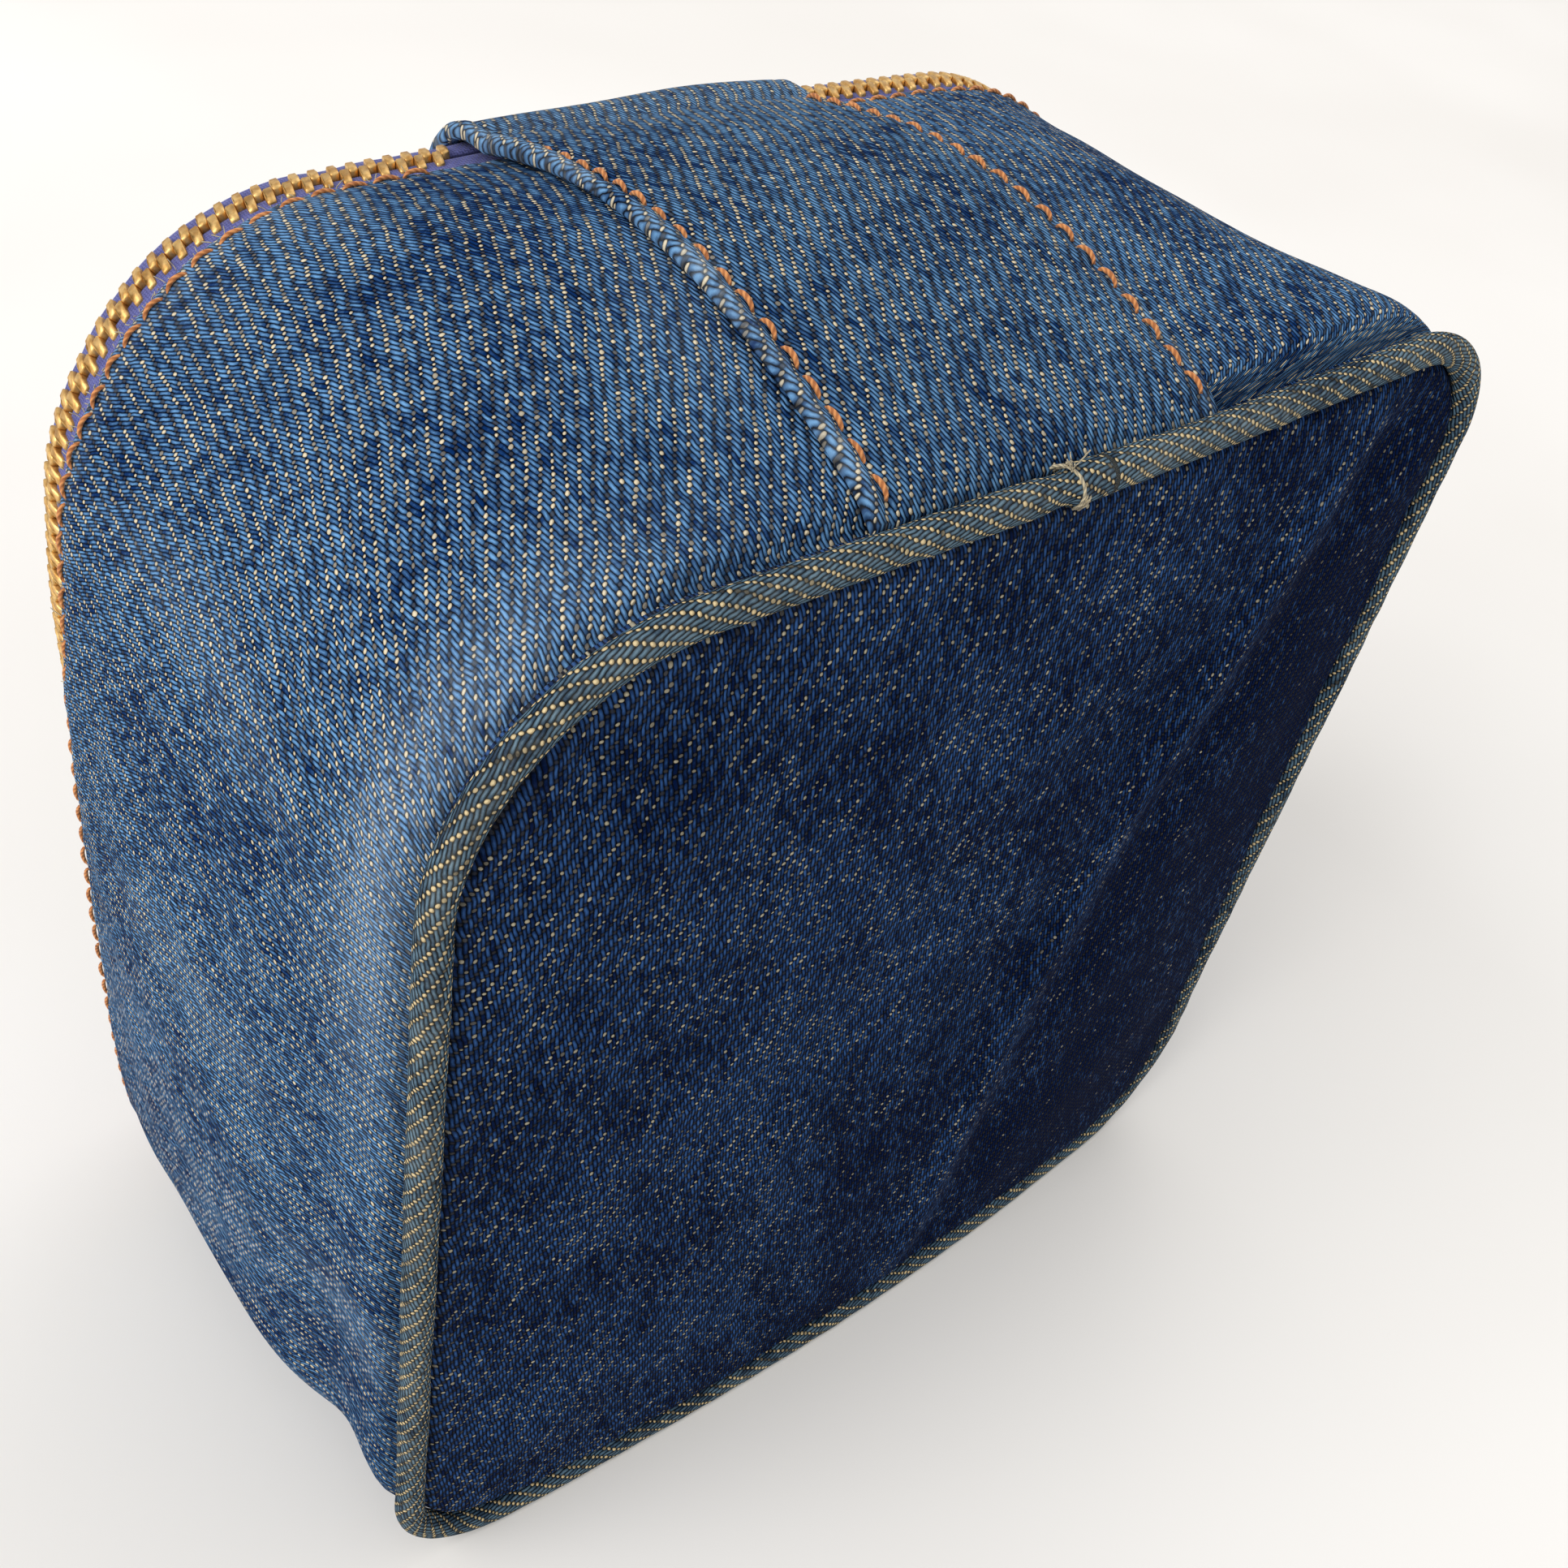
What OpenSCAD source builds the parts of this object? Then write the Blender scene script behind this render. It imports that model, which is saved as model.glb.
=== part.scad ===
// Boxy zip-round denim case, standing on the long wall opposite its lid hinge.
// The base panel faces -Y, the lid faces +Y, and the hinge band crosses the top.
// All sizes are in millimetres. The origin is under the centre of the whole case.

/* [Case] */
// Width of the base panel over its piping
case_w = 135; // [120:1:160]
// Height of the base panel over its piping
case_h = 134; // [120:1:160]
// Depth from the piping's front to the middle of the zip
zip_y = 70.5; // [60:0.5:90]
// Corner radius of the base panel
base_corner_r = 17; // [14:1:22]
// Radius of the base panel's top left corner, which has softened with use
soft_corner_r = 24; // [17:1:28]
// Corner radius of the zip rim at the top
rim_top_r = 27; // [22:1:34]
// Corner radius of the zip rim at the bottom
rim_bottom_r = 19; // [17:1:26]
// How much rounder the top corners are in the middle of the walls' depth
corner_slack = 9; // [0:1:12]
// How far the top wall crowns up at the middle of its depth
top_bulge = 8; // [2:0.5:10]
// How far the side walls bow outwards
side_bulge = 3; // [0:0.5:5]
// How far the bottom wall bows inwards
bottom_bow = 3; // [0:0.5:8]

/* [Fabric] */
// Thickness of one layer of denim
denim_t = 1; // [0.8:0.1:1.2]
// Thickness of the wall padding
padding_t = 1.9; // [1:0.1:2.5]
// Thickness of the lining
lining_t = 0.6; // [0.4:0.1:1]
// Thickness of the stiffening boards
board_t = 1.3; // [1:0.1:1.5]
// Diameter of the covered piping
piping_d = 4.3; // [3.5:0.1:5]
// Wall of the piping's denim cover
piping_cover_t = 0.65; // [0.5:0.05:0.8]
// Height of the lid's dome
lid_dome = 4; // [1:0.5:5]

/* [Hinge band] */
// Where the band's left edge lies, from the middle of the case
band_left = -26; // [-28:0.5:-20]
// Where the band's right edge lies, from the middle of the case
band_right = 18; // [12:0.5:24]
// Thickness of the doubled band
band_t = 1.4; // [1:0.1:1.6]
// How far the band runs down the lid
band_drop = 14; // [8:1:20]

/* [Zip] */
// Distance from tooth to tooth along one tape
tooth_pitch = 2; // [1.8:0.1:2.5]
// Length of a tooth across the tape
tooth_reach = 1.8; // [1.6:0.1:2]
// Thickness of a tooth through the tape
tooth_h = 1.9; // [1.6:0.1:2]
// Thickness of a tooth along the tape
tooth_w = 0.95; // [0.8:0.05:1.1]
// Free gap between the two rows of teeth
row_gap = 0.6; // [0.5:0.1:0.8]
// Tape seen between the teeth and the folded denim
bare_tape = 2; // [1.5:0.1:3]
// Thickness of the zip tape
tape_t = 0.5; // [0.4:0.05:0.6]
// Length of a slider along the zip
slider_l = 9.5; // [8:0.5:10]
// Length of a pull from its pin
pull_l = 20; // [14:1:24]
// Width of a pull
pull_w = 6; // [5:0.5:7]

/* [Stitching] */
// Length of one topstitch with its gap
stitch_pitch = 3.2; // [2.5:0.1:4]
// Diameter of the topstitch thread
thread_d = 0.5; // [0.4:0.05:0.7]

/* [Hidden] */
$fn = 48;

gap = 0.1;                       // air between two layers of the same body
mid_z = case_h / 2;
piping_r = piping_d / 2;

// Depths, from the piping's front
wall_y0 = piping_d + gap;        // the walls start behind the piping
fold_y = zip_y - row_gap / 2 - tooth_reach - bare_tape;   // folded edge beside the zip
flat_y = fold_y - 7;             // from here on the walls neither crown nor bow
stitch_y = fold_y - 1.8;
tape_hem = 6.5;                  // tape hidden under the wall's fold
lid_tape_y = zip_y + 4.7;        // the lid's tape turns inwards here
lid_y = lid_tape_y + tape_t + gap;
groove = 0.9;                    // the wall starts this far inside the piping's outline

// Insets from the rim's outline
tape_in = denim_t + gap;
padding_in = tape_in + tape_t + gap;
lining_in = padding_in + padding_t + gap;
chain_in = tape_in + tape_t / 2;
lid_panel_in = 5.5;
lid_inner_in = 11.5;
lid_hem_in = 11;
band_lap = 6;                    // the gusset's ends reach this far under the band

// Zip slider, measured from the middle of the chain
plate_gap = tooth_h / 2 + 0.25;
plate_t = 0.8;
slider_w = 7.4;
bridge_l = 6;
bridge_w = 1.6;
bridge_t = 0.7;
bridge_h = 2.5;
pin_r = 0.45;
pin_h = plate_gap + plate_t + 0.9;
slider_spacing = 11;
pull_lean = 3;                   // the upper pull leans on the zip by this angle

// Corner radii, clockwise from the top right as seen from the front
base_r = [base_corner_r, base_corner_r, base_corner_r - 4, soft_corner_r];
rim_r = [rim_top_r, rim_bottom_r, rim_bottom_r, rim_top_r];
slack_r = [corner_slack, 0, 0, corner_slack];
corner_side = [[1, 1], [1, -1], [-1, -1], [-1, 1]];

chain_x = case_w / 2 - chain_in;
// The slider bridges stand a little further out than the left wall's bow
shift_x = (side_bulge + chain_in - bridge_h - plate_gap - plate_t) / 2;
shift_y = -(lid_y + denim_t + lid_dome) / 2;

denim_mid = [0.22, 0.36, 0.56];
denim_dark = [0.12, 0.2, 0.34];
denim_worn = [0.4, 0.45, 0.55];
lining_grey = [0.72, 0.7, 0.66];
foam_white = [0.9, 0.89, 0.85];
board_grey = [0.55, 0.53, 0.5];
tape_violet = [0.32, 0.34, 0.58];
brass = [0.85, 0.65, 0.32];
thread_orange = [0.85, 0.5, 0.22];

function lerp(a, b, t) = a + (b - a) * t;
function clamp01(t) = max(0, min(1, t));
function depth_share(y) = clamp01((y - wall_y0) / (flat_y - wall_y0));
function bump(y) = sin(180 * depth_share(y));
function corner_r(y) = base_r + (rim_r - base_r) * depth_share(y) + slack_r * bump(y);
function less(r, e) = [for (a = r) a - e];

// Points strictly between p and q, and points along an arc with both its ends
function between(p, q, n) = [for (i = [1 : n - 1]) p + (q - p) * i / n];
function arc(c, r, a0, a1, n) =
    [for (i = [0 : n]) let (a = lerp(a0, a1, i / n)) c + r * [cos(a), sin(a)]];

// A rounded rectangle, clockwise from x_from on its top edge round to x_to
function outline(hw, hh, r, x_from, x_to, n = 12) = concat(
    [[x_from, hh]], between([x_from, hh], [hw - r[0], hh], 3),
    arc([hw - r[0], hh - r[0]], r[0], 90, 0, n), between([hw, hh - r[0]], [hw, r[1] - hh], 4),
    arc([hw - r[1], r[1] - hh], r[1], 0, -90, n), between([hw - r[1], -hh], [r[2] - hw, -hh], 5),
    arc([r[2] - hw, r[2] - hh], r[2], -90, -180, n), between([-hw, r[2] - hh], [-hw, hh - r[3]], 4),
    arc([r[3] - hw, hh - r[3]], r[3], -180, -270, n), between([r[3] - hw, hh], [x_to, hh], 3),
    [[x_to, hh]]
);

// The same outline at depth y, crowned and bowed, as points in space
function crowned(p, hw, hh, y) =
    let (a = p.x / hw, b = p.y / hh, s = bump(y))
    [
        p.x + sign(p.x) * side_bulge * s * (1 - b * b),
        y,
        mid_z + p.y + (b > 0 ? top_bulge : bottom_bow) * s * (1 - a * a)
    ];
function wall_ring(y, inset, x_from, x_to) =
    let (
        e = inset + groove * (1 - clamp01((y - wall_y0) / 3)),
        hw = case_w / 2 - e,
        hh = case_h / 2 - e
    )
    [for (p = outline(hw, hh, less(corner_r(y), e), x_from, x_to)) crowned(p, hw, hh, y)];
function top_line(y, outset, x_from, x_to, n) =
    [
        for (i = [0 : n])
            let (hh = case_h / 2 + outset)
            crowned([lerp(x_from, x_to, i / n), hh], case_w / 2, hh, y)
    ];

// Depths of the rings that a wall layer is lofted through
function ring_depths(y_end) = concat(
    [wall_y0, wall_y0 + 3],
    [for (t = [0.2 : 0.15 : 0.81]) lerp(wall_y0, flat_y, t)],
    [flat_y, y_end]
);

function flatten(l) = [for (a = l) for (b = a) b];
function quad(a, b, c, d) = [[a, b, c], [a, c, d]];

// A thin solid between two grids of points: rows run along Y, columns round the case
module skin(outer, inner, closed) {
    rows = len(outer);
    cols = len(outer[0]);
    n = rows * cols;
    last = closed ? cols - 1 : cols - 2;
    sheets = flatten([
        for (i = [0 : rows - 2]) for (k = [0 : last])
            let (a = i * cols + k, b = i * cols + (k + 1) % cols)
            concat(quad(a, a + cols, b + cols, b), quad(n + a, n + b, n + b + cols, n + a + cols))
    ]);
    edges = flatten([
        for (k = [0 : last])
            let (a = k, b = (k + 1) % cols, t = (rows - 1) * cols)
            concat(quad(a, b, n + b, n + a), quad(t + a, n + t + a, n + t + b, t + b))
    ]);
    ends = closed ? [] : flatten([
        for (i = [0 : rows - 2])
            let (a = i * cols, b = i * cols + cols - 1)
            concat(quad(a, n + a, n + a + cols, a + cols), quad(b, b + cols, n + b + cols, n + b))
    ]);
    polyhedron(concat(flatten(outer), flatten(inner)), concat(sheets, edges, ends));
}

module wall_layer(inset, thickness, y_end) {
    depths = ring_depths(y_end);
    x_from = band_right;
    x_to = band_left;
    skin(
        [for (y = depths) wall_ring(y, inset, x_from, x_to)],
        [for (y = depths) wall_ring(y, inset + thickness, x_from, x_to)],
        true
    );
}

// Puts a piece into the part's own frame
module placed() {
    translate([shift_x, shift_y, 0]) children();
}

// A rounded rectangle with its edge inset from the rim's or the base's outline
module rounded(inset, radii) {
    hw = case_w / 2 - inset;
    hh = case_h / 2 - inset;
    r = less(radii, inset);
    polygon([
        [hw - r[0], hh], [hw, hh - r[0]], [hw, r[1] - hh], [hw - r[1], -hh],
        [r[2] - hw, -hh], [-hw, r[2] - hh], [-hw, hh - r[3]], [r[3] - hw, hh]
    ]);
    for (k = [0 : 3])
        translate([corner_side[k].x * (hw - r[k]), corner_side[k].y * (hh - r[k])]) circle(r[k], $fn = 96);
}

// Extrudes a flat shape, drawn in X and Z, from depth y0 to depth y1
module slab(y0, y1) {
    translate([0, y1, mid_z]) rotate([90, 0, 0]) linear_extrude(y1 - y0) children();
}

module plate(y0, y1, inset, r) {
    slab(y0, y1) rounded(inset, r);
}

module band_ring(y0, y1, in0, in1, r) {
    slab(y0, y1) difference() {
        rounded(in0, r);
        rounded(in1, r);
    }
}

// A round bar all the way round the base panel's edge
module piping_loop(r) {
    hw = case_w / 2 - piping_r;
    hh = case_h / 2 - piping_r;
    c = less(base_r, piping_r);
    translate([0, piping_r, mid_z]) rotate([90, 0, 0]) {
        translate([c[3] - hw, hh, 0]) rotate([0, 90, 0]) cylinder(2 * hw - c[3] - c[0], r, r);
        translate([c[2] - hw, -hh, 0]) rotate([0, 90, 0]) cylinder(2 * hw - c[2] - c[1], r, r);
        translate([hw, hh - c[0], 0]) rotate([90, 0, 0]) cylinder(2 * hh - c[0] - c[1], r, r);
        translate([-hw, hh - c[3], 0]) rotate([90, 0, 0]) cylinder(2 * hh - c[3] - c[2], r, r);
        for (k = [0 : 3])
            translate([corner_side[k].x * (hw - c[k]), corner_side[k].y * (hh - c[k]), 0])
                rotate([0, 0, -90 * k]) rotate_extrude(angle = 90) translate([c[k], 0]) circle(r);
    }
}

// The rim's outline as distances from its top middle: where each corner starts and its length
rim_w = case_w / 2;
rim_h = case_h / 2;
corner_l = rim_r * PI / 2;
start_0 = rim_w - rim_r[0];
start_1 = start_0 + corner_l[0] + 2 * rim_h - rim_r[0] - rim_r[1];
start_2 = start_1 + corner_l[1] + 2 * rim_w - rim_r[1] - rim_r[2];
start_3 = start_2 + corner_l[2] + 2 * rim_h - rim_r[2] - rim_r[3];
corner_start = [start_0, start_1, start_2, start_3];
rim_l = start_3 + corner_l[3] + rim_w - rim_r[3];

// The rim's place at distance s: X, height over the middle, and degrees turned clockwise
function corner_place(k, t) =
    let (r = rim_r[k], side = corner_side[k])
    [side.x * (rim_w - r) + r * sin(t), side.y * (rim_h - r) + r * cos(t), t];
function rim_place(s, k = 0) =
    k > 3 ? [s - rim_l, rim_h, 360] :
    s < corner_start[k] ?
        let (p = corner_place(k, 90 * k), d = corner_start[k] - s)
        [p.x - d * cos(90 * k), p.y + d * sin(90 * k), 90 * k] :
    s < corner_start[k] + corner_l[k] ?
        corner_place(k, 90 * k + 90 * (s - corner_start[k]) / corner_l[k]) :
    rim_place(s, k + 1);

// Children are drawn at the outline with +X along it, +Y in depth and +Z outwards
module on_rim(s, inset) {
    p = rim_place(s);
    translate([p.x, 0, mid_z + p.y]) rotate([0, p.z, 0]) translate([0, 0, -inset]) children();
}

teeth_from = band_right + 1;
teeth_to = rim_l + band_left - 1;
tooth_count = floor((teeth_to - teeth_from) / tooth_pitch);

module tooth_row(y0) {
    for (i = [0 : tooth_count])
        on_rim(teeth_from + i * tooth_pitch, chain_in)
            translate([-tooth_w / 2, y0, -tooth_h / 2]) cube([tooth_w, tooth_reach, tooth_h]);
}

module stop_pair(y0) {
    stop_w = 1.6;
    for (s = [teeth_from - 2.4, teeth_to + 2.4])
        on_rim(s, chain_in)
            translate([-stop_w / 2, y0, -tooth_h / 2]) cube([stop_w, tooth_reach, tooth_h]);
}

// A run of stitches along the rim, each lying flush with the surface at that inset
module stitch_run(y, inset, s_from, s_to) {
    n = floor((s_to - s_from) / stitch_pitch);
    stitch_l = stitch_pitch * 0.78;
    for (i = [0 : n])
        on_rim(s_from + i * stitch_pitch, inset + thread_d / 2)
            translate([-stitch_l / 2, y, 0]) rotate([0, 90, 0])
                cylinder(stitch_l, thread_d / 2, thread_d / 2, $fn = 16);
}

module base_panel() {
    color(denim_dark) placed() plate(0.8, 0.8 + denim_t, piping_d + gap, base_r);
}

module base_piping_cover() {
    color(denim_worn) placed() difference() {
        piping_loop(piping_r);
        piping_loop(piping_r - piping_cover_t);
    }
}

module base_piping_cord() {
    color(foam_white) placed() piping_loop(piping_r - piping_cover_t - 0.05);
}

module base_board() {
    y = 0.8 + denim_t + gap;
    color(board_grey) placed() plate(y, y + board_t, piping_d + 0.6, base_r);
}

module base_lining() {
    y = 0.8 + denim_t + board_t + 2 * gap;
    color(lining_grey) placed() plate(y, y + lining_t, piping_d + 0.4, base_r);
}

module base_seam_binding() {
    color(lining_grey) placed() band_ring(wall_y0 + 0.2, wall_y0 + 4.2, 6.4, 7.2, base_r);
}

module wall_gusset() {
    depths = ring_depths(fold_y);
    x_from = band_right - band_lap;
    x_to = band_left + band_lap;
    color(denim_mid) placed() skin(
        [for (y = depths) wall_ring(y, 0, x_from, x_to)],
        [for (y = depths) wall_ring(y, denim_t, x_from, x_to)],
        false
    );
}

module wall_padding() {
    color(foam_white) placed() wall_layer(padding_in, padding_t, fold_y - 1);
}

module wall_lining() {
    color(lining_grey) placed() wall_layer(lining_in, lining_t, fold_y - 0.5);
}

module hinge_band() {
    depths = concat([for (t = [0 : 0.125 : 1]) lerp(wall_y0, flat_y, t)], [zip_y - row_gap / 2]);
    color(denim_mid) placed() skin(
        [for (y = depths) top_line(y, gap + band_t, band_right, band_left, 8)],
        [for (y = depths) top_line(y, gap, band_right, band_left, 8)],
        false
    );
}

module wall_zip_tape() {
    color(tape_violet) placed()
        band_ring(fold_y - tape_hem, zip_y - row_gap / 2 - 1, tape_in, tape_in + tape_t, rim_r);
}

module wall_zip_teeth() {
    color(brass) placed() tooth_row(zip_y - row_gap / 2 - tooth_reach);
}

module wall_zip_stops() {
    color(brass) placed() stop_pair(zip_y - row_gap / 2 - tooth_reach);
}

module rim_topstitch() {
    color(thread_orange) placed() stitch_run(stitch_y, 0, band_right + 2, rim_l + band_left - 2);
}

// Two rows of stitches hold the band's folded edges down on the top wall
module band_topstitch() {
    color(thread_orange) placed()
        for (x = [band_left + 3.7, band_right - 3.7]) for (y = [wall_y0 + 2 : stitch_pitch : flat_y]) {
            p = crowned([x, case_h / 2 + gap + band_t], case_w / 2, case_h / 2 + gap + band_t, y);
            q = crowned([x, case_h / 2 + gap + band_t], case_w / 2, case_h / 2 + gap + band_t, y + 2.5);
            slope = atan2(q.z - p.z, 2.5);
            translate([x, y, p.z - thread_d / 2]) rotate([slope - 90, 0, 0])
                cylinder(2.5, thread_d / 2, thread_d / 2, $fn = 16);
        }
}

// A plate whose front and back both swell towards +Y, by their own domes, from its edge
module domed(y_back, back_dome, y_front, front_dome, inset) {
    shares = [1, 0.96, 0.88, 0.75, 0.55, 0.3];
    hw = case_w / 2 - inset;
    hh = case_h / 2 - inset;
    loop = outline(hw, hh, less(rim_r, inset), 0, 0);
    edge = [for (i = [0 : len(loop) - 2]) loop[i]];
    cols = len(edge);
    n = len(shares) * cols;
    face = flatten([
        for (s = shares) [for (p = edge) [p.x * s, y_front + front_dome * (1 - s * s), mid_z + p.y * s]]
    ]);
    back = flatten([
        for (s = shares) [for (p = edge) [p.x * s, y_back + back_dome * (1 - s * s), mid_z + p.y * s]]
    ]);
    tips = [[0, y_front + front_dome, mid_z], [0, y_back + back_dome, mid_z]];
    sides = flatten([for (k = [0 : cols - 1]) let (b = (k + 1) % cols) quad(k, b, n + b, n + k)]);
    rings = flatten([
        for (i = [0 : len(shares) - 2]) for (k = [0 : cols - 1])
            let (a = i * cols + k, b = i * cols + (k + 1) % cols)
            concat(quad(a, a + cols, b + cols, b), quad(n + a, n + b, n + b + cols, n + a + cols))
    ]);
    last = n - cols;
    caps = flatten([
        for (k = [0 : cols - 1])
            let (a = last + k, b = last + (k + 1) % cols)
            [[a, 2 * n, b], [n + b, 2 * n + 1, n + a]]
    ]);
    polyhedron(concat(face, back, tips), concat(sides, rings, caps));
}

module lid_panel() {
    color(denim_mid) placed()
        domed(lid_y, lid_dome, lid_y + denim_t, lid_dome, lid_panel_in);
}

module lid_padding() {
    color(foam_white) placed()
        domed(lid_tape_y - 1.2, 0, lid_y - gap, lid_dome, lid_inner_in);
}

module lid_board() {
    y = lid_tape_y - 1.2 - gap;
    color(board_grey) placed() plate(y - board_t, y, lid_inner_in, rim_r);
}

module lid_lining() {
    y = lid_tape_y - 1.2 - 2 * gap - board_t;
    color(lining_grey) placed() plate(y - lining_t, y, lid_inner_in, rim_r);
}

module lid_seam_binding() {
    color(lining_grey) placed()
        band_ring(lid_tape_y - 1.1, lid_tape_y - gap, 8, lid_inner_in - gap, rim_r);
}

module lid_band() {
    y0 = zip_y + row_gap / 2;
    y1 = lid_y + denim_t + 2.6;
    z0 = case_h + gap;
    color(denim_mid) placed() {
        translate([band_left, y0, z0]) cube([band_right - band_left, y1 - y0, band_t]);
        translate([band_left, y1 - band_t, z0 - band_drop])
            cube([band_right - band_left, band_t, band_drop + 0.01]);
    }
}

module lid_zip_tape() {
    color(tape_violet) placed() {
        band_ring(zip_y + row_gap / 2 + 1, lid_tape_y + tape_t, tape_in, tape_in + tape_t, rim_r);
        band_ring(lid_tape_y, lid_tape_y + tape_t, tape_in, lid_hem_in, rim_r);
    }
}

module lid_zip_teeth() {
    color(brass) placed() tooth_row(zip_y + row_gap / 2);
}

module lid_zip_stops() {
    color(brass) placed() stop_pair(zip_y + row_gap / 2);
}

module lid_topstitch() {
    stitch_in = lid_panel_in + 1.8;
    color(thread_orange) placed()
        stitch_run(lid_y + denim_t - thread_d / 2, stitch_in, band_right + 2, rim_l + band_left - 2);
}

// Children are drawn at a slider's middle: +X outwards, +Y across the zip, +Z along it
module on_zip(z) {
    placed() translate([chain_x, zip_y, z]) children();
}
lower_z = mid_z - slider_spacing / 2;
upper_z = mid_z + slider_spacing / 2;

// Two plates, a thin post between the rows of teeth, and the flange on the wall's side
module slider_shape(head) {
    corner = 1.6;
    for (x = [plate_gap, -plate_gap - plate_t])
        translate([x, 0, 0]) rotate([0, 90, 0]) linear_extrude(plate_t) {
            square([slider_l, slider_w - 2 * corner], center = true);
            square([slider_l - 2 * corner, slider_w], center = true);
            for (a = [-1, 1]) for (b = [-1, 1])
                translate([a * (slider_l / 2 - corner), b * (slider_w / 2 - corner)]) circle(corner);
        }
    translate([-plate_gap, -0.14, head > 0 ? 1 : -4]) cube([2 * plate_gap, 0.28, 3]);
    flange_h = plate_gap - tape_t / 2 - 0.35;
    for (x = [tape_t / 2 + 0.35, -plate_gap])
        translate([x, -slider_w / 2, 1.6 - slider_l / 2]) cube([flange_h, 0.7, slider_l - 3.2]);
}

// The arch that holds the pull's pin
module bridge_shape() {
    foot = plate_gap + plate_t;
    translate([foot, bridge_w / 2, 0]) rotate([90, 0, 0]) linear_extrude(bridge_w) difference() {
        union() {
            translate([0, -bridge_l / 2]) square([bridge_h - 1, bridge_l]);
            translate([0, 1 - bridge_l / 2]) square([bridge_h, bridge_l - 2]);
            for (s = [-1, 1]) translate([bridge_h - 1, s * (bridge_l / 2 - 1)]) circle(1);
        }
        translate([-1, bridge_t - bridge_l / 2]) square([bridge_h + 1 - bridge_t, bridge_l - 2 * bridge_t]);
    }
}

// The pull points along -Z from its pin, with an eye round the bridge
module pull_shape() {
    eye = 4;
    end_r = pull_w / 2;
    arm_y = bridge_w / 2 + 0.35;
    difference() {
        union() {
            translate([-pin_r, -pull_w / 2, end_r - pull_l]) cube([2 * pin_r, pull_w, pull_l - end_r - 1.5]);
            translate([-pin_r, 0, end_r - pull_l]) rotate([0, 90, 0]) cylinder(2 * pin_r, end_r, end_r);
            translate([-pin_r, -arm_y - 0.9, -2]) cube([2 * pin_r, 2 * arm_y + 1.8, 2]);
            translate([0, -arm_y - 0.9, 0]) rotate([-90, 0, 0]) cylinder(2 * arm_y + 1.8, pin_r, pin_r);
        }
        translate([-1, -arm_y, -eye]) cube([2, 2 * arm_y, eye + 1]);
        translate([-1, 0, 4 - pull_l]) rotate([0, 90, 0]) cylinder(2, 1.2, 1.2);
    }
    translate([0, -arm_y - 0.5, 0]) rotate([-90, 0, 0]) cylinder(2 * arm_y + 1, pin_r, pin_r);
}

module lower_slider() {
    color(brass) on_zip(lower_z) slider_shape(1);
}

module lower_bridge() {
    color(brass) on_zip(lower_z) bridge_shape();
}

module lower_pull() {
    color(brass) on_zip(lower_z) translate([pin_h, 0, 0]) pull_shape();
}

module upper_slider() {
    color(brass) on_zip(upper_z) slider_shape(-1);
}

module upper_bridge() {
    color(brass) on_zip(upper_z) bridge_shape();
}

module upper_pull() {
    color(brass) on_zip(upper_z) translate([pin_h, 0, 0])
        rotate([0, 180 - pull_lean, 0]) pull_shape();
}

base_panel();
base_piping_cover();
base_piping_cord();
base_board();
base_lining();
base_seam_binding();
wall_gusset();
wall_padding();
wall_lining();
hinge_band();
wall_zip_tape();
wall_zip_teeth();
wall_zip_stops();
rim_topstitch();
band_topstitch();
lid_panel();
lid_padding();
lid_board();
lid_lining();
lid_seam_binding();
lid_band();
lid_zip_tape();
lid_zip_teeth();
lid_zip_stops();
lid_topstitch();
lower_slider();
lower_bridge();
lower_pull();
upper_slider();
upper_bridge();
upper_pull();
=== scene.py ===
"""Looks for the boxy zip-round denim case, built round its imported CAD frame.

Shapes are worked out in millimetres in the case's own frame: x from the middle of its width,
y from the front of the piping towards the lid, z up from the floor. piece() turns them into
metres in the shared frame.
"""
import math

import bmesh
import bpy
import numpy as np
from mathutils import Matrix, Vector


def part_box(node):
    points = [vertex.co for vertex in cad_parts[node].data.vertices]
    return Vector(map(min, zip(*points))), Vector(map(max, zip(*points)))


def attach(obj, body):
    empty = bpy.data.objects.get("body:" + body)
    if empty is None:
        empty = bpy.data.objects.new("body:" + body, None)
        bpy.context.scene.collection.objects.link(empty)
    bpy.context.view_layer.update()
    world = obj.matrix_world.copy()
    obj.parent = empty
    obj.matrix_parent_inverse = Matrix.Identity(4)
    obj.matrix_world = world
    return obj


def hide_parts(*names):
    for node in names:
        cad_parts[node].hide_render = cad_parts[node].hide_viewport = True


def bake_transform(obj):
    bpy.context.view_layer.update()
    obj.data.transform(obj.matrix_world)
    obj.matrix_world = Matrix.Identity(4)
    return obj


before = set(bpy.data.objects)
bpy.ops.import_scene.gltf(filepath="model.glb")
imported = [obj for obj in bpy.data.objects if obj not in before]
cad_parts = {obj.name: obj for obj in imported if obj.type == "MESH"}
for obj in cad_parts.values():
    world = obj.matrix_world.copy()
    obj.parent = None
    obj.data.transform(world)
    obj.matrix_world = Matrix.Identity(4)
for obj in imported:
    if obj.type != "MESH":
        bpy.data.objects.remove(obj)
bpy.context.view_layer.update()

MM = 0.001
cover_low, cover_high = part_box("base_piping_cover")
teeth_low, teeth_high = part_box("wall_zip_teeth")
CASE_W = (cover_high.x - cover_low.x) / MM
CASE_H = cover_high.z / MM
OFFSET = np.array([(cover_low.x + cover_high.x) / 2, cover_low.y, 0.0])
ZIP_Y = (teeth_high.y - cover_low.y) / MM + 0.3
FOLD_Y = ZIP_Y - 4.1          # the walls' folded edge beside the zip
WALL_Y = 4.4                  # the walls start here, behind the piping
STITCH_Y = FOLD_Y - 1.3
HALF_W = CASE_W / 2
MID_Z = CASE_H / 2
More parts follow.
